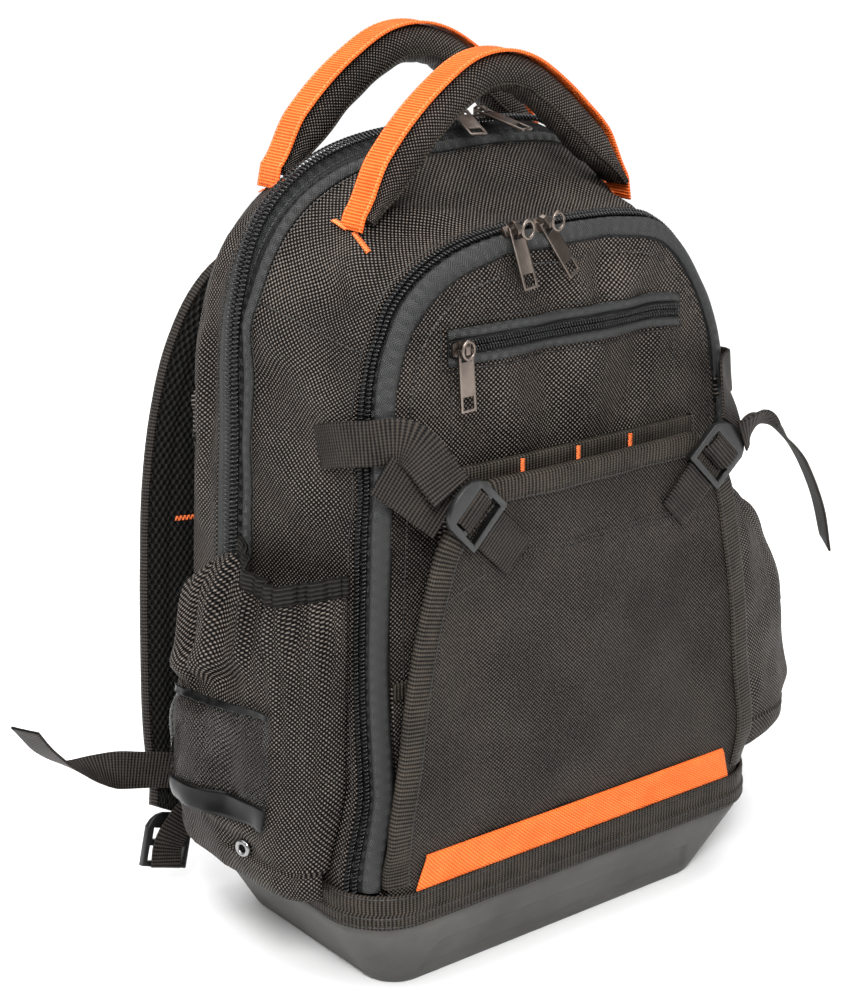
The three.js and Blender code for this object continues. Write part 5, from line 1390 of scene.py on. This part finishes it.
# Orange twill stripe at the flap's foot
rows = []
for up in np.linspace(0, 1, 12):
    half = STRIPE_WIDTH / 2 - STRIPE_TAPER * up
    z = BAND_TOP + GAP + STRIPE_HEIGHT * up
    x = np.linspace(-half, half, 120)
    lift = 2.2 - 1.0 * float(ease((up - 0.86) / 0.14))
    y = flap_y(x, np.full_like(x, z)) - lift
    rows.append(folded(np.stack([x, y, np.full_like(x, z)], 1), FLAP_FOLDS))
cloth("stripe_twill", [np.stack(rows)], orange_twill, ["orange_stripe"], thickness=0.9)


# ---------------------------------------------------------------- side pockets
def pocket_grid(reach, columns=200, rows=110):
    band = TRAY_WIDTH / 2 + BAND_THICKNESS + BAND_STEP + CLOTH + 1
    t = np.linspace(0, 1, columns)
    s = mix(t, 0.5 - 0.5 * np.cos(np.pi * t), 0.6)
    y = mix(POCKET_FRONT_Y, POCKET_BACK_Y, s)
    rim = POCKET_LOW + POCKET_HEIGHT * read(POCKET_RIM, "along", s, "height")
    over = ease(1 - (np.abs(y - MAIN_ZIP_Y + 2) - tape - 3) / 12)
    room = CLOTH + 1.6 + 4.0 * over
    downs = np.concatenate([np.linspace(0, 0.99, rows), [0.996, 1.0, 1.0001]])
    grid = []
    for down in downs:
        shape = (read(POCKET_ROWS, "down", down, key) for key in ("full", "square", "gather"))
        full, square, gather = shape
        z = mix(rim, POCKET_LOW, min(down, 1))
        section = (1 - np.abs(2 * s - 1) ** square) ** 0.6
        open_by = read(POCKET_RIM, "along", s, "reach") * POCKET_RIM_REACH if down < 0.5 else 0
        wave = np.cos(2 * np.pi * GATHER_COUNT * t + 0.8 * np.sin(9 * t)) * section**0.5
        fine = 0.6 * np.cos(2 * np.pi * (GATHER_COUNT * 2.3) * t + 9 * down) * section**0.5
        pleat = np.sign(wave + fine) * np.abs(wave + fine) ** 0.8
        out_by = mix(open_by, reach * section, full) + 4.6 * gather * np.maximum(pleat, -1.1)
        half = np.array([half_at(a, b) for a, b in zip(y, z)])
        clear = np.maximum(half + room, band) if down > 0.9 else half + room
        grid.append(np.stack([-clear - np.maximum(out_by, 0), y, z], 1))
    return np.stack(grid[::-1])


def cuff_rings(grid):
    """The elastic tape that binds the gathered part of the pocket's rim."""
    rim = grid[-1]
    last = mix(POCKET_FRONT_Y, POCKET_BACK_Y, POCKET_SEAM_SHARE)
    rim = evenly(rim[rim[:, 1] < last], 150)
    along = unit(np.gradient(rim, axis=0) * [1, 1, 0])
    out = np.stack([-along[:, 1], along[:, 0], 0 * along[:, 0]], 1)
    section = [(-1.4, 0), (0.9, -1.0), (2.0, 1.0), (2.3, 5)]
    section += [(1.8, 9), (0.2, 11.4), (-1.6, 10.8), (-2.0, 6)]
    t = np.linspace(0, 1, len(rim))
    pucker = 0.35 * np.sin(t * 95) + 0.3 * np.sin(t * 41)
    rings = np.stack([rim + out * o + [0, 0, up - 1.2] for o, up in section], 1)
    return rings + pucker[:, None, None] * out[:, None] * 0.8


def wider(fold):
    """The same fold for the fuller right pocket, which is made as a left one and mirrored."""
    start, end = np.array(fold["start"]) - [40, 0, 0], np.array(fold["end"]) - [50, 0, 0]
    return dict(fold, wide=fold["wide"] * 1.4, start=start, end=end)


for hand, turn in TURNS.items():
    sign = int(turn[0])
    folds = POCKET_FOLDS if hand == "left" else [wider(fold) for fold in POCKET_FOLDS]
    grid = uneven(folded(pocket_grid(POCKET_REACH[hand]), folds), 32, 0.9, 41, 0.05)
    rings = cuff_rings(grid)
    shaped = grid * turn
    if hand == "right":
        shaped = drooped(shaped)
        rings = drooped(rings * turn)
    pocket = cloth(
        "pocket_cloth_" + hand,
        [shaped],
        ballistic_nylon,
        ["side_pocket_" + hand],
        centre=POCKET_CENTRE,
        thickness=1.8,
    )
    tube("elastic_cuff_" + hand, rings, elastic, ["pocket_cuff_" + hand])
    # eyelet near the pocket's foot
    spots, ways = seat_on(pocket, [(-sign * 150, -34, POCKET_LOW + 20)], (sign, 0, 0), facing=True)
    out = unit(ways[0] if ways[0][0] * sign < 0 else -ways[0])
    place = spots[0] + out * 1.2
    across = unit(np.cross(out, [0, 0, 1]))
    up = np.cross(out, across)
    around = full_turn(32)
    profile = [(2.7, -0.6), (2.5, 1.0), (3.1, 1.8), (4.2, 2.0), (5.4, 1.3), (5.9, -0.6)]
    circle = lambda r, h, a: place + out * h + r * (math.cos(a) * across + math.sin(a) * up)
    rings = [[circle(r, h, a) for r, h in profile] for a in around]
    eyelet = ["eyelet_" + hand]
    tube("eyelet_ring_" + hand, rings + rings[:1], bright_nickel, eyelet, ends=False)
    # painted shade: a very dark disc fills the eyelet's hole
    disc = [circle(2.9, 0.7, a) for a in around]
    piece_from("eyelet_hole_" + hand, disc, [list(range(32))], hole_shade)

# ---------------------------------------------------------------- straps, tabs and tails
def at_places(rows, key="at"):
    return np.array([row[key] for row in rows], float)


def frame_of(origin, x_axis, y_axis):
    x_axis = unit(x_axis)
    z_axis = unit(np.cross(x_axis, y_axis))
    return np.array(origin, float), x_axis, np.cross(z_axis, x_axis), z_axis


def carry(seat, x, y, z):
    origin, a, b, c = seat
    return origin + a * x + b * y + c * z


seat = float(flap_y(-BUCKLE_X + 4, BUCKLE_Z - 4.0))
buckle_frame = frame_of(
    (-BUCKLE_X, seat - BUCKLE_THICKNESS / 2 - 4.6, BUCKLE_Z), (1, 0.12, -1), (1, 0, 1)
)
end = carry(buckle_frame, -BUCKLE_LENGTH / 2 - 1, 0, -BUCKLE_THICKNESS / 2 - 1.4)
across = buckle_frame[2]
out_by = WEBBING / 2 + GAP + 1.2
sewn = np.array([-float(half_at(STRAP_Y, STRAP_Z)) - out_by, STRAP_Y, STRAP_Z])
bend = np.array([-float(half_at(FRONT_ZIP_Y, STRAP_Z)) - CLOTH - 5, FRONT_ZIP_Y - 3, STRAP_Z + 9])
over = np.array([end[0] * 0.55 + bend[0] * 0.45, mix(bend[1], end[1], 0.42), bend[2]])
strap_places = [sewn, [sewn[0] - 0.6, mix(sewn[1], bend[1], 0.55), STRAP_Z + 6], bend, over, end]
strap_across = [(0, 0.1, 1), (0, 0.05, 1), (0.1, 0, 1), (0.35, 0, 0.9), across]
tab_start = carry(buckle_frame, BUCKLE_LENGTH / 2 + 0.6, 0, -1)
tab_places = [tab_start]
for share in (0.5, 1):
    x, z = tab_start[0] + TAB_LENGTH * 0.7 * share, tab_start[2] - TAB_LENGTH * 0.7 * share
    tab_places.append([x, float(flap_y(x, z)) - WEBBING - 1.6, z])

for hand, turn in TURNS.items():
    path, wide = smooth_lay(np.array(strap_places) * turn, np.array(strap_across) * turn, 60)
    path = drooped(path)
    webbing("strap_" + hand, path, wide, WEBBING_WIDTH, "compression_strap_" + hand, wave=0.25)
    path, wide = drooped(smooth_path(np.array(tab_places) * turn, 20)), across * turn
    webbing("tab_" + hand, path, wide, WEBBING_WIDTH - 1, "buckle_tab_" + hand, 2 * WEBBING)
    over_bar = ((-11, -3), (-8, 0.6), (-4, 2.9), (1, 3.1), (5, 1.2), (7, -2.5))
    bar = [carry(buckle_frame, x, 0, z) for x, z in over_bar]
    path = drooped(smooth_path(np.array(bar) * turn, 24))
    webbing("bar_webbing_" + hand, path, wide, WEBBING_WIDTH - 3)
for name, rows in (("left", LEFT_TAIL), ("right", RIGHT_TAIL)):
    path, wide = smooth_lay(at_places(rows), at_places(rows, "across"), 70)
    webbing("tail_" + name, drooped(path), wide, WEBBING_WIDTH - 1, "strap_tail_" + name)
for node in ("buckle_left", "buckle_right", "shoulder_buckle_left", "shoulder_buckle_right"):
    finished_copy(node, acetal, 0.7, 3)


# ---------------------------------------------------------------- carry handles
def top_z(x, y):
    line = arch(y)
    half = line[CORNER_START : len(line) - CORNER_START]
    return float(np.interp(x, half[:, 0], half[:, 2]))


def above(path):
    """The way up from a path that lies in a plane across the pack."""
    along = unit(np.gradient(path, axis=0))
    return np.stack([-along[:, 2], 0 * along[:, 0], along[:, 0]], 1)


def handle_path(y, span, top, seat, count=90):
    edge = y + HANDLE_DEPTH / 2 * 0.8 * np.sign(MAIN_ZIP_Y - y)
    foot = [top_z(HANDLE_SHIFT + k * span / 2, edge) + seat for k in (-1, 1)]
    apex = TRAY_HEIGHT + BODY_HEIGHT + top
    points = []
    for row in HANDLE_ARC:
        low = foot[0] if row["along"] < 0 else foot[1]
        points.append((HANDLE_SHIFT + row["along"] * span / 2, y, mix(low, apex, row["up"])))
    path = smooth_path(points, count)
    return path, above(path)


tacks = []
for name, handle in HANDLES.items():
    path, up = handle_path(**handle)
    t = np.linspace(0, 1, len(path))
    full = mix(0.3, 1, ease(np.minimum(t, 1 - t) * 7))
    angle = full_turn(40)
    flatten = np.abs(np.sin(angle)) ** 0.85 * np.sign(np.sin(angle))
    sideways = np.array([0, 1, 0]) * (HANDLE_DEPTH / 2 * np.cos(angle))[:, None]
    rings = []
    for k in range(len(path)):
        crease = 1 - 0.035 * math.sin(k * 1.1) * (t[k] > 0.52) - 0.03 * math.sin(k * 0.63 + 1)
        high = HANDLE_THICKNESS / 2 * full[k] * flatten
        high = np.where(high < 0, high * crease, high)
        rings.append(path[k] + up[k] * high[:, None] + sideways)
    rings = drooped(np.array(rings))
    body = tube("grip_" + name, rings, handle_nylon, ["handle_" + name])
    # sewn edges of the grip's cover, a little under its two sides
    for label, k in (("a", 37), ("b", 23)):
        line = rings[:, k]
        _, side, face = frames_along(line, unit(line - drooped(path)))
        tube("grip_seam_" + name + "_" + label, cord(line, side, face, 0.9, 8), grosgrain)
    lift = HANDLE_THICKNESS / 2 * full + WEBBING / 2 + 0.5
    line = drooped(path + up * lift[:, None])
    under = bpy.data.objects["middle_cloth" if name == "front" else "rear_cloth"]
    feet = line[[0, -1]] + unit(line[[0, -1]] - line[[2, -3]]) * [[4.0], [4.0]]
    feet = seat_on(under, feet + [0, 0, 30], (0, 0, -1), 1.2)
    line = evenly(np.concatenate([feet[:1], line, feet[1:]]), len(line))
    up = above(line)
    web = "orange_web_" + name, line, (0, 1.0, 0), HANDLE_WEB_WIDTH, WEBBING
    ribbon(*web, orange_grosgrain, ["handle_web_" + name])
    inside = HANDLE_WEB_WIDTH / 2 - 1.6
    edges = [(line + [0, k * inside, 0] + up * (WEBBING / 2), up) for k in (-1, 1)]
    stitches("orange_web_stitches_" + name, edges, orange_thread, 3.2, 2.3, 0.4, 0.4)
    for k in (0, -1):
        foot = line[k]
        back = 16 if name == "front" else 7  # the rear handle's foot is near the back panel's edge
        for low, high in ((-16, -3), (3, back)):
            ends = foot + np.array([[0, low, 30], [0, high, 30]])
            a, b = seat_on(under, ends, (0, 0, -1), 0.8)
            tacks.append(bar_tack(a, b, (0.2 * np.sign(foot[0]), -0.3, 1), 3.0, 8, 0.6))
joined("handle_tacks", tacks, orange_thread)

# ---------------------------------------------------------------- bar tacks on the tool pocket
tacks = []
for x in (-45, -4, 36):
    y = drooped(tool_row(TOOL_POCKET_TOP, np.array([x / (TOOL_POCKET_WIDTH / 2)])))[0, 1]
    foot, top = (x, y - 2.2, TOOL_POCKET_TOP - 9), (x, y - 2.0, TOOL_POCKET_TOP)
    tacks.append(bar_tack(foot, top, (0, -1, 0), 2.8, 6, 0.5))
joined("pocket_tacks", tacks, orange_thread)

# ---------------------------------------------------------------- back padding and harness
def pad_grid(width, low, height, thick, rows=60, columns=60):
    s, t = np.meshgrid(np.linspace(-1, 1, columns), np.linspace(0, 1, rows))
    x, z = s * width / 2, low + height * t
    edge = np.minimum((1 - np.abs(s)) * width / 2, np.minimum(t, 1 - t) * height)
    round_ = np.sqrt(np.clip(1 - (1 - np.clip(edge / 15, 0, 1)) ** 2, 0, 1))
    groove = np.exp(-((x / 7) ** 2)) * 0.5
    for place in (-0.55, 0.55):
        groove += np.exp(-(((x - place * width / 2) / 4) ** 2)) * 0.4
    out = thick * round_ * (1 - groove)
    y = back_y(x, z) + SEAM_GAP + out
    return np.stack([x, y, z], -1)


for name, sizes in (("back_pad", BACK_PAD), ("lumbar_pad", LUMBAR_PAD)):
    grid = drooped(pad_grid(**sizes))
    made = cloth(name + "_mesh", [grid], spacer_mesh, [name], thickness=1.0)
    border = np.concatenate([grid[0], grid[1:, -1], grid[-1, ::-1][1:], grid[::-1, 0][1:]])
    border = evenly(border, 260)
    along = unit(np.gradient(border, axis=0))
    back = np.broadcast_to([0, 1.0, 0], border.shape)
    side = unit(np.cross(along, back))
    tube(name + "_edge", cord(border + [0, 1.0, 0], side, back, 1.7, 8), grosgrain)


def harness_stations():
    places, widths = [], []
    for row in HARNESS_ROWS:
        z, x = HARNESS_LOW + HARNESS_LENGTH * row["up"], -HARNESS_SPREAD * row["aside"]
        back = BACK_Y + SHOULDER_THICKNESS / 2
        if row["up"] == 1:
            back = float(back_y(np.array(x), np.array(z))) + 3.3
        places.append((x, back + HARNESS_DEPTH * row["out"], z))
        widths.append(SHOULDER_WIDTH * row["width"])
    return np.array(places), np.array(widths)


places, widths = harness_stations()
strap_path = smooth_path(np.concatenate([places, widths[:, None]], 1), 110)
path, width = strap_path[:, :3], strap_path[:, 3]
along = unit(np.gradient(path, axis=0))
sideways = unit(np.stack([along[:, 2], 0 * along[:, 0], -along[:, 0]], 1))
sideways[sideways[:, 0] > 0] *= -1
face = unit(np.cross(along, sideways))
face[face[:, 1] < 0] *= -1
half = SHOULDER_THICKNESS / 2
for hand, turn in TURNS.items():
    section = []
    for s in np.linspace(-1, 1, 33):
        groove = 0.28 * math.exp(-(((abs(s) - 0.52) / 0.06) ** 2))
        section.append((s * 0.985, -half * (math.sqrt(max(1 - abs(s) ** 6, 0)) - groove)))
    section += [(s, -f) for s, f in section[::-1]][1:-1]
    rings = [path + sideways * (s * width / 2)[:, None] + face * f for s, f in section]
    strap = ["shoulder_strap_" + hand]
    made = tube("shoulder_pad_" + hand, np.stack(rings, 1) * turn, spacer_mesh, strap)
    for label, s in (("outer", 0.985), ("inner", -0.985)):
        edge = path + sideways * (s * width / 2)[:, None]
        rings = cord(edge, sideways, face, 2.1, 10, 4.2) * turn
        tube("shoulder_edge_" + hand + "_" + label, rings, dark_webbing)
    start = int(len(path) * 0.3)
    web = (path[start:] + face[start:] * (half + WEBBING / 2 + 0.4)) * turn
    wide, name = sideways[start:] * turn, "shoulder_webbing_" + hand
    webbing(name, web, wide, width[start:] * 0.36, "shoulder_web_" + hand)
    tack_at = int(len(path) * 0.52)
    middle = (path[tack_at] - face[tack_at] * (half + 0.3)) * turn
    reach = sideways[tack_at] * turn * 14
    tack = bar_tack(middle - reach, middle + reach, -face[tack_at] * turn, 2.6, 10, 0.5)
    joined("shoulder_tack_" + hand, [tack], orange_thread)
    # waist strap
    start_at = np.array([-float(half_at(BACK_Y, float(WAIST_Z))) - 0.4, BACK_Y + 2.4, WAIST_Z])
    rows = [start_at + np.array([-r["out"], r["back"], r["up"]]) * WAIST_LENGTH for r in WAIST_ROWS]
    turns = [math.radians(r["turn"]) for r in WAIST_ROWS]
    line, lie = smooth_lay(rows, [(0, math.sin(a), math.cos(a)) for a in turns], 60)
    name, strap = "waist_webbing_" + hand, "waist_strap_" + hand
    webbing(name, line * turn, lie * turn, WEBBING_WIDTH - 2, strap)

# the webbing that ties each shoulder strap's ladder lock to the body
end, before = places[-1], places[-3]
along = unit(end - before)
across = np.array([1, 0, along[0] / -along[2]])
lock = frame_of(end + along * (BUCKLE_LENGTH / 2 + 3.5 * GAP), along, across)
behind = BUCKLE_THICKNESS / 2 + WEBBING / 2 + GAP + 0.3
low, high = carry(lock, BUCKLE_LENGTH / 2, 0, behind), carry(lock, 0, 0, behind)
seat = np.array([-float(base_half(np.array(float(BACK_Y)))) + 16, BACK_Y + 2.6, BAND_TOP + 17])
line = smooth_path([low, high, mix(high, seat, 0.6) + [0, 5, 0], seat], 40)
for hand, turn in TURNS.items():
    name, anchor = "anchor_webbing_" + hand, "shoulder_anchor_" + hand
    webbing(name, line * turn, lock[2] * turn, WEBBING_WIDTH - 3, anchor)

# ---------------------------------------------------------------- label window
def label_points(u, v, lift):
    """Places on the window, from -0.5 to 0.5 each way, carried on to the left pocket."""
    c, k = math.cos(math.radians(LABEL_TILT)), math.sin(math.radians(LABEL_TILT))
    p, q = u * LABEL_WIDTH, v * LABEL_HEIGHT
    y, z = LABEL_Y + p * c + q * k, LABEL_Z - p * k + q * c
    flat = np.stack([np.full(np.shape(u), -260.0), y, z], -1)
    pocket = bpy.data.objects["pocket_cloth_left"]
    seated = seat_on(pocket, flat.reshape(-1, 3), (1, 0, 0), lift).reshape(flat.shape)
    for _ in range(6):
        inner = seated[1:-1, 1:-1]
        beside = seated[1:-1, :-2] + seated[1:-1, 2:]
        inner += 0.5 * ((seated[:-2, 1:-1] + seated[2:, 1:-1] + beside) / 4 - inner)
    return seated


u, v = np.meshgrid(np.linspace(-0.5, 0.5, 40), np.linspace(-0.5, 0.5, 40))
window = label_points(u, v, 2.2)
window[..., 0] -= 1.4 * np.abs(ripple(window, 46, 51))
cloth("window_sheet", [window], clear_vinyl, ["label_window"], centre=POCKET_CENTRE, thickness=0)
for name, low, high in (("upper", 0.44, 0.5), ("lower", -0.5, -0.3)):
    u, v = np.meshgrid(np.linspace(-0.5, 0.5, 60), np.linspace(low, high, 8))
    trim = label_points(u, v, 4.4)
    cloth("window_trim_" + name, [trim], black_vinyl, centre=POCKET_CENTRE, thickness=0.6)

# ---------------------------------------------------------------- sliders and pulls
for name in ("main_left", "main_right", "front_left", "front_right", "pocket"):
    finished_copy(name + "_slider", antique_nickel, 0.6, 3)
    finished_copy(name + "_pull", antique_nickel, 0.3, 2)


# Wire rings that carry the hanging pulls
for name in ("front_left", "front_right", "pocket"):
    low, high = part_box(name + "_pull")
    low, high = np.array(low) * 1000, np.array(high) * 1000
    middle = (low[0] + high[0]) / 2 if name == "pocket" else low[0] + 5.4
    centre = np.array([middle, low[1], high[2] - 3])
    front = np.array([0, 1, 0])
    rings = []
    for a in np.linspace(0, 2 * np.pi, 33):
        out = np.array([math.cos(a), 0, 1.25 * math.sin(a)])
        core = centre + 3.9 * out + [0, 0.4, 2.2]
        wire = [math.cos(b) * out + math.sin(b) * front for b in full_turn(8)]
        rings.append([core + 0.85 * way for way in wire])
    tube("ring_" + name, rings, antique_nickel, ends=False)

# ---------------------------------------------------------------- seams
def arch_seam(y, inset):
    return arch_frame(y, inset, ZIP_LOW + 2)[:2]


seams = [
    arch_seam(MAIN_ZIP_Y + tape + 3.2, -0.5),
    arch_seam(MAIN_ZIP_Y - tape - 4.6, -0.6),
    arch_seam(GUSSET_FRONT_Y + 3.2, -0.5),
    arch_seam(MAIN_ZIP_Y + 8, -0.3),
    arch_seam(MAIN_ZIP_Y - 7, -0.3),
]
inner = settled(arch(FRONT_ZIP_Y, PANEL_INSET + 5.5, BAND_TOP + 24) - [0, PANEL_SETBACK + 3.0, 0])
FRONT = (0, -1, 0)
seams.append((inner, FRONT))


def on_side(points):
    """Carries a line on to the left side of the body."""
    line = evenly(np.array(points, float), 40)
    return seat_on(bpy.data.objects["middle_cloth"], line, (1, 0, 0), 0.3)


seams.append((on_side([(-200, -12, 396), (-200, -46, 386), (-200, -80, 377)]), (-1, 0, 0.2)))
x = np.linspace(-64, 64, 60)
for up in (262, 258.5):
    seams.append((on_flap(x, 0 * x + up, 0.3), FRONT))
for a, b in (((-118, 236), (-78, 254)), ((118, 232), (84, 252))):
    x, z = np.linspace(a[0], b[0], 20), np.linspace(a[1], b[1], 20)
    seams.append((on_flap(x, z, 0.3), FRONT))
z = np.linspace(322, 366, 20)
seams += [(on_panel(x, z, 0.4), FRONT) for x in (-84, 84)]
x = np.linspace(-90, 90, 60)
seams += [(on_panel(x, POCKET_ZIP_Z + up, 0.5), FRONT) for up in (13, -13)]
z = np.linspace(POCKET_ZIP_Z - 13, POCKET_ZIP_Z + 13, 12)
seams += [(on_panel(x, z, 0.5), FRONT) for x in (-91, 91)]
stitches("body_stitches", seams, black_thread)

# Binding of the shallow pockets that show beside the flap
for hand, sign in (("left", -1), ("right", 1)):
    x = sign * np.linspace(96, 127, 24)
    section = ((135, 1.2), (163, 2.2), (193, 3.4))
    inner = np.stack([on_panel(x, z, out_by) for z, out_by in section])
    cloth("beside_flap_" + hand, [inner], ballistic_nylon, thickness=1.0, flat=(0,))
    path = on_panel(x, 189 + 0 * x, 4.6)
    ribbon("beside_flap_binding_" + hand, path, (0, 0, 1.0), 10, 1.6, grosgrain)

# ---------------------------------------------------------------- floor, light and air
floor_mesh = bpy.data.meshes.new("floor")
edge = [(2.3 * math.cos(a), 2.3 * math.sin(a), 0) for a in full_turn(64)]
floor_mesh.from_pydata(edge, [], [list(range(64))])
floor = placed("floor", floor_mesh)
paper, tree, surface = begin("pale_paper", "moulded_base", Roughness=0.9, Specular_IOR_Level=0.1)
painted(tree, surface, cloud(tree, 500), [(0.2, "#f6f6f6"), (0.8, "#fdfdfd")])
floor_mesh.materials.append(paper)

world = bpy.data.worlds.new("white_studio")
world.use_nodes = True
air = world.node_tree
way = add(air, "TexCoord").outputs["Generated"]
height = add(air, "SeparateXYZ", links={"Vector": way}).outputs["Z"]
# The paper goes on below the horizon; above it the room is dimmer
limits = {"From Min": -0.04, "From Max": 0.04, "To Min": 1.02, "To Max": 0.26}
level = add(air, "MapRange", limits, {"Value": height})
air.nodes["Background"].inputs["Color"].default_value = (1, 1, 1, 1)
air.links.new(level.outputs[0], air.nodes["Background"].inputs["Strength"])
bpy.context.scene.world = world


def soft_light(name, place, aim, size, power):
    data = bpy.data.lights.new(name, "AREA")
    data.shape = "RECTANGLE"
    data.size, data.size_y = size
    data.energy = power
    aimed(placed(name, data), Vector(place), Vector(aim) - Vector(place))


soft_light("key", (-1.5, -2.2, 2.3), (0, 0, 0.25), (0.9, 0.9), 105)
soft_light("front_fill", (0.9, -2.4, 1.2), (0, 0, 0.25), (1.2, 1.6), 14)
soft_light("left_fill", (-2.4, 0.2, 1.4), (0, 0, 0.25), (1.0, 1.4), 9)
soft_light("top", (-0.5, 0.3, 3.4), (-0.2, 0, 0), (4.5, 4.5), 215)
bpy.context.scene.view_settings.view_transform = "Standard"
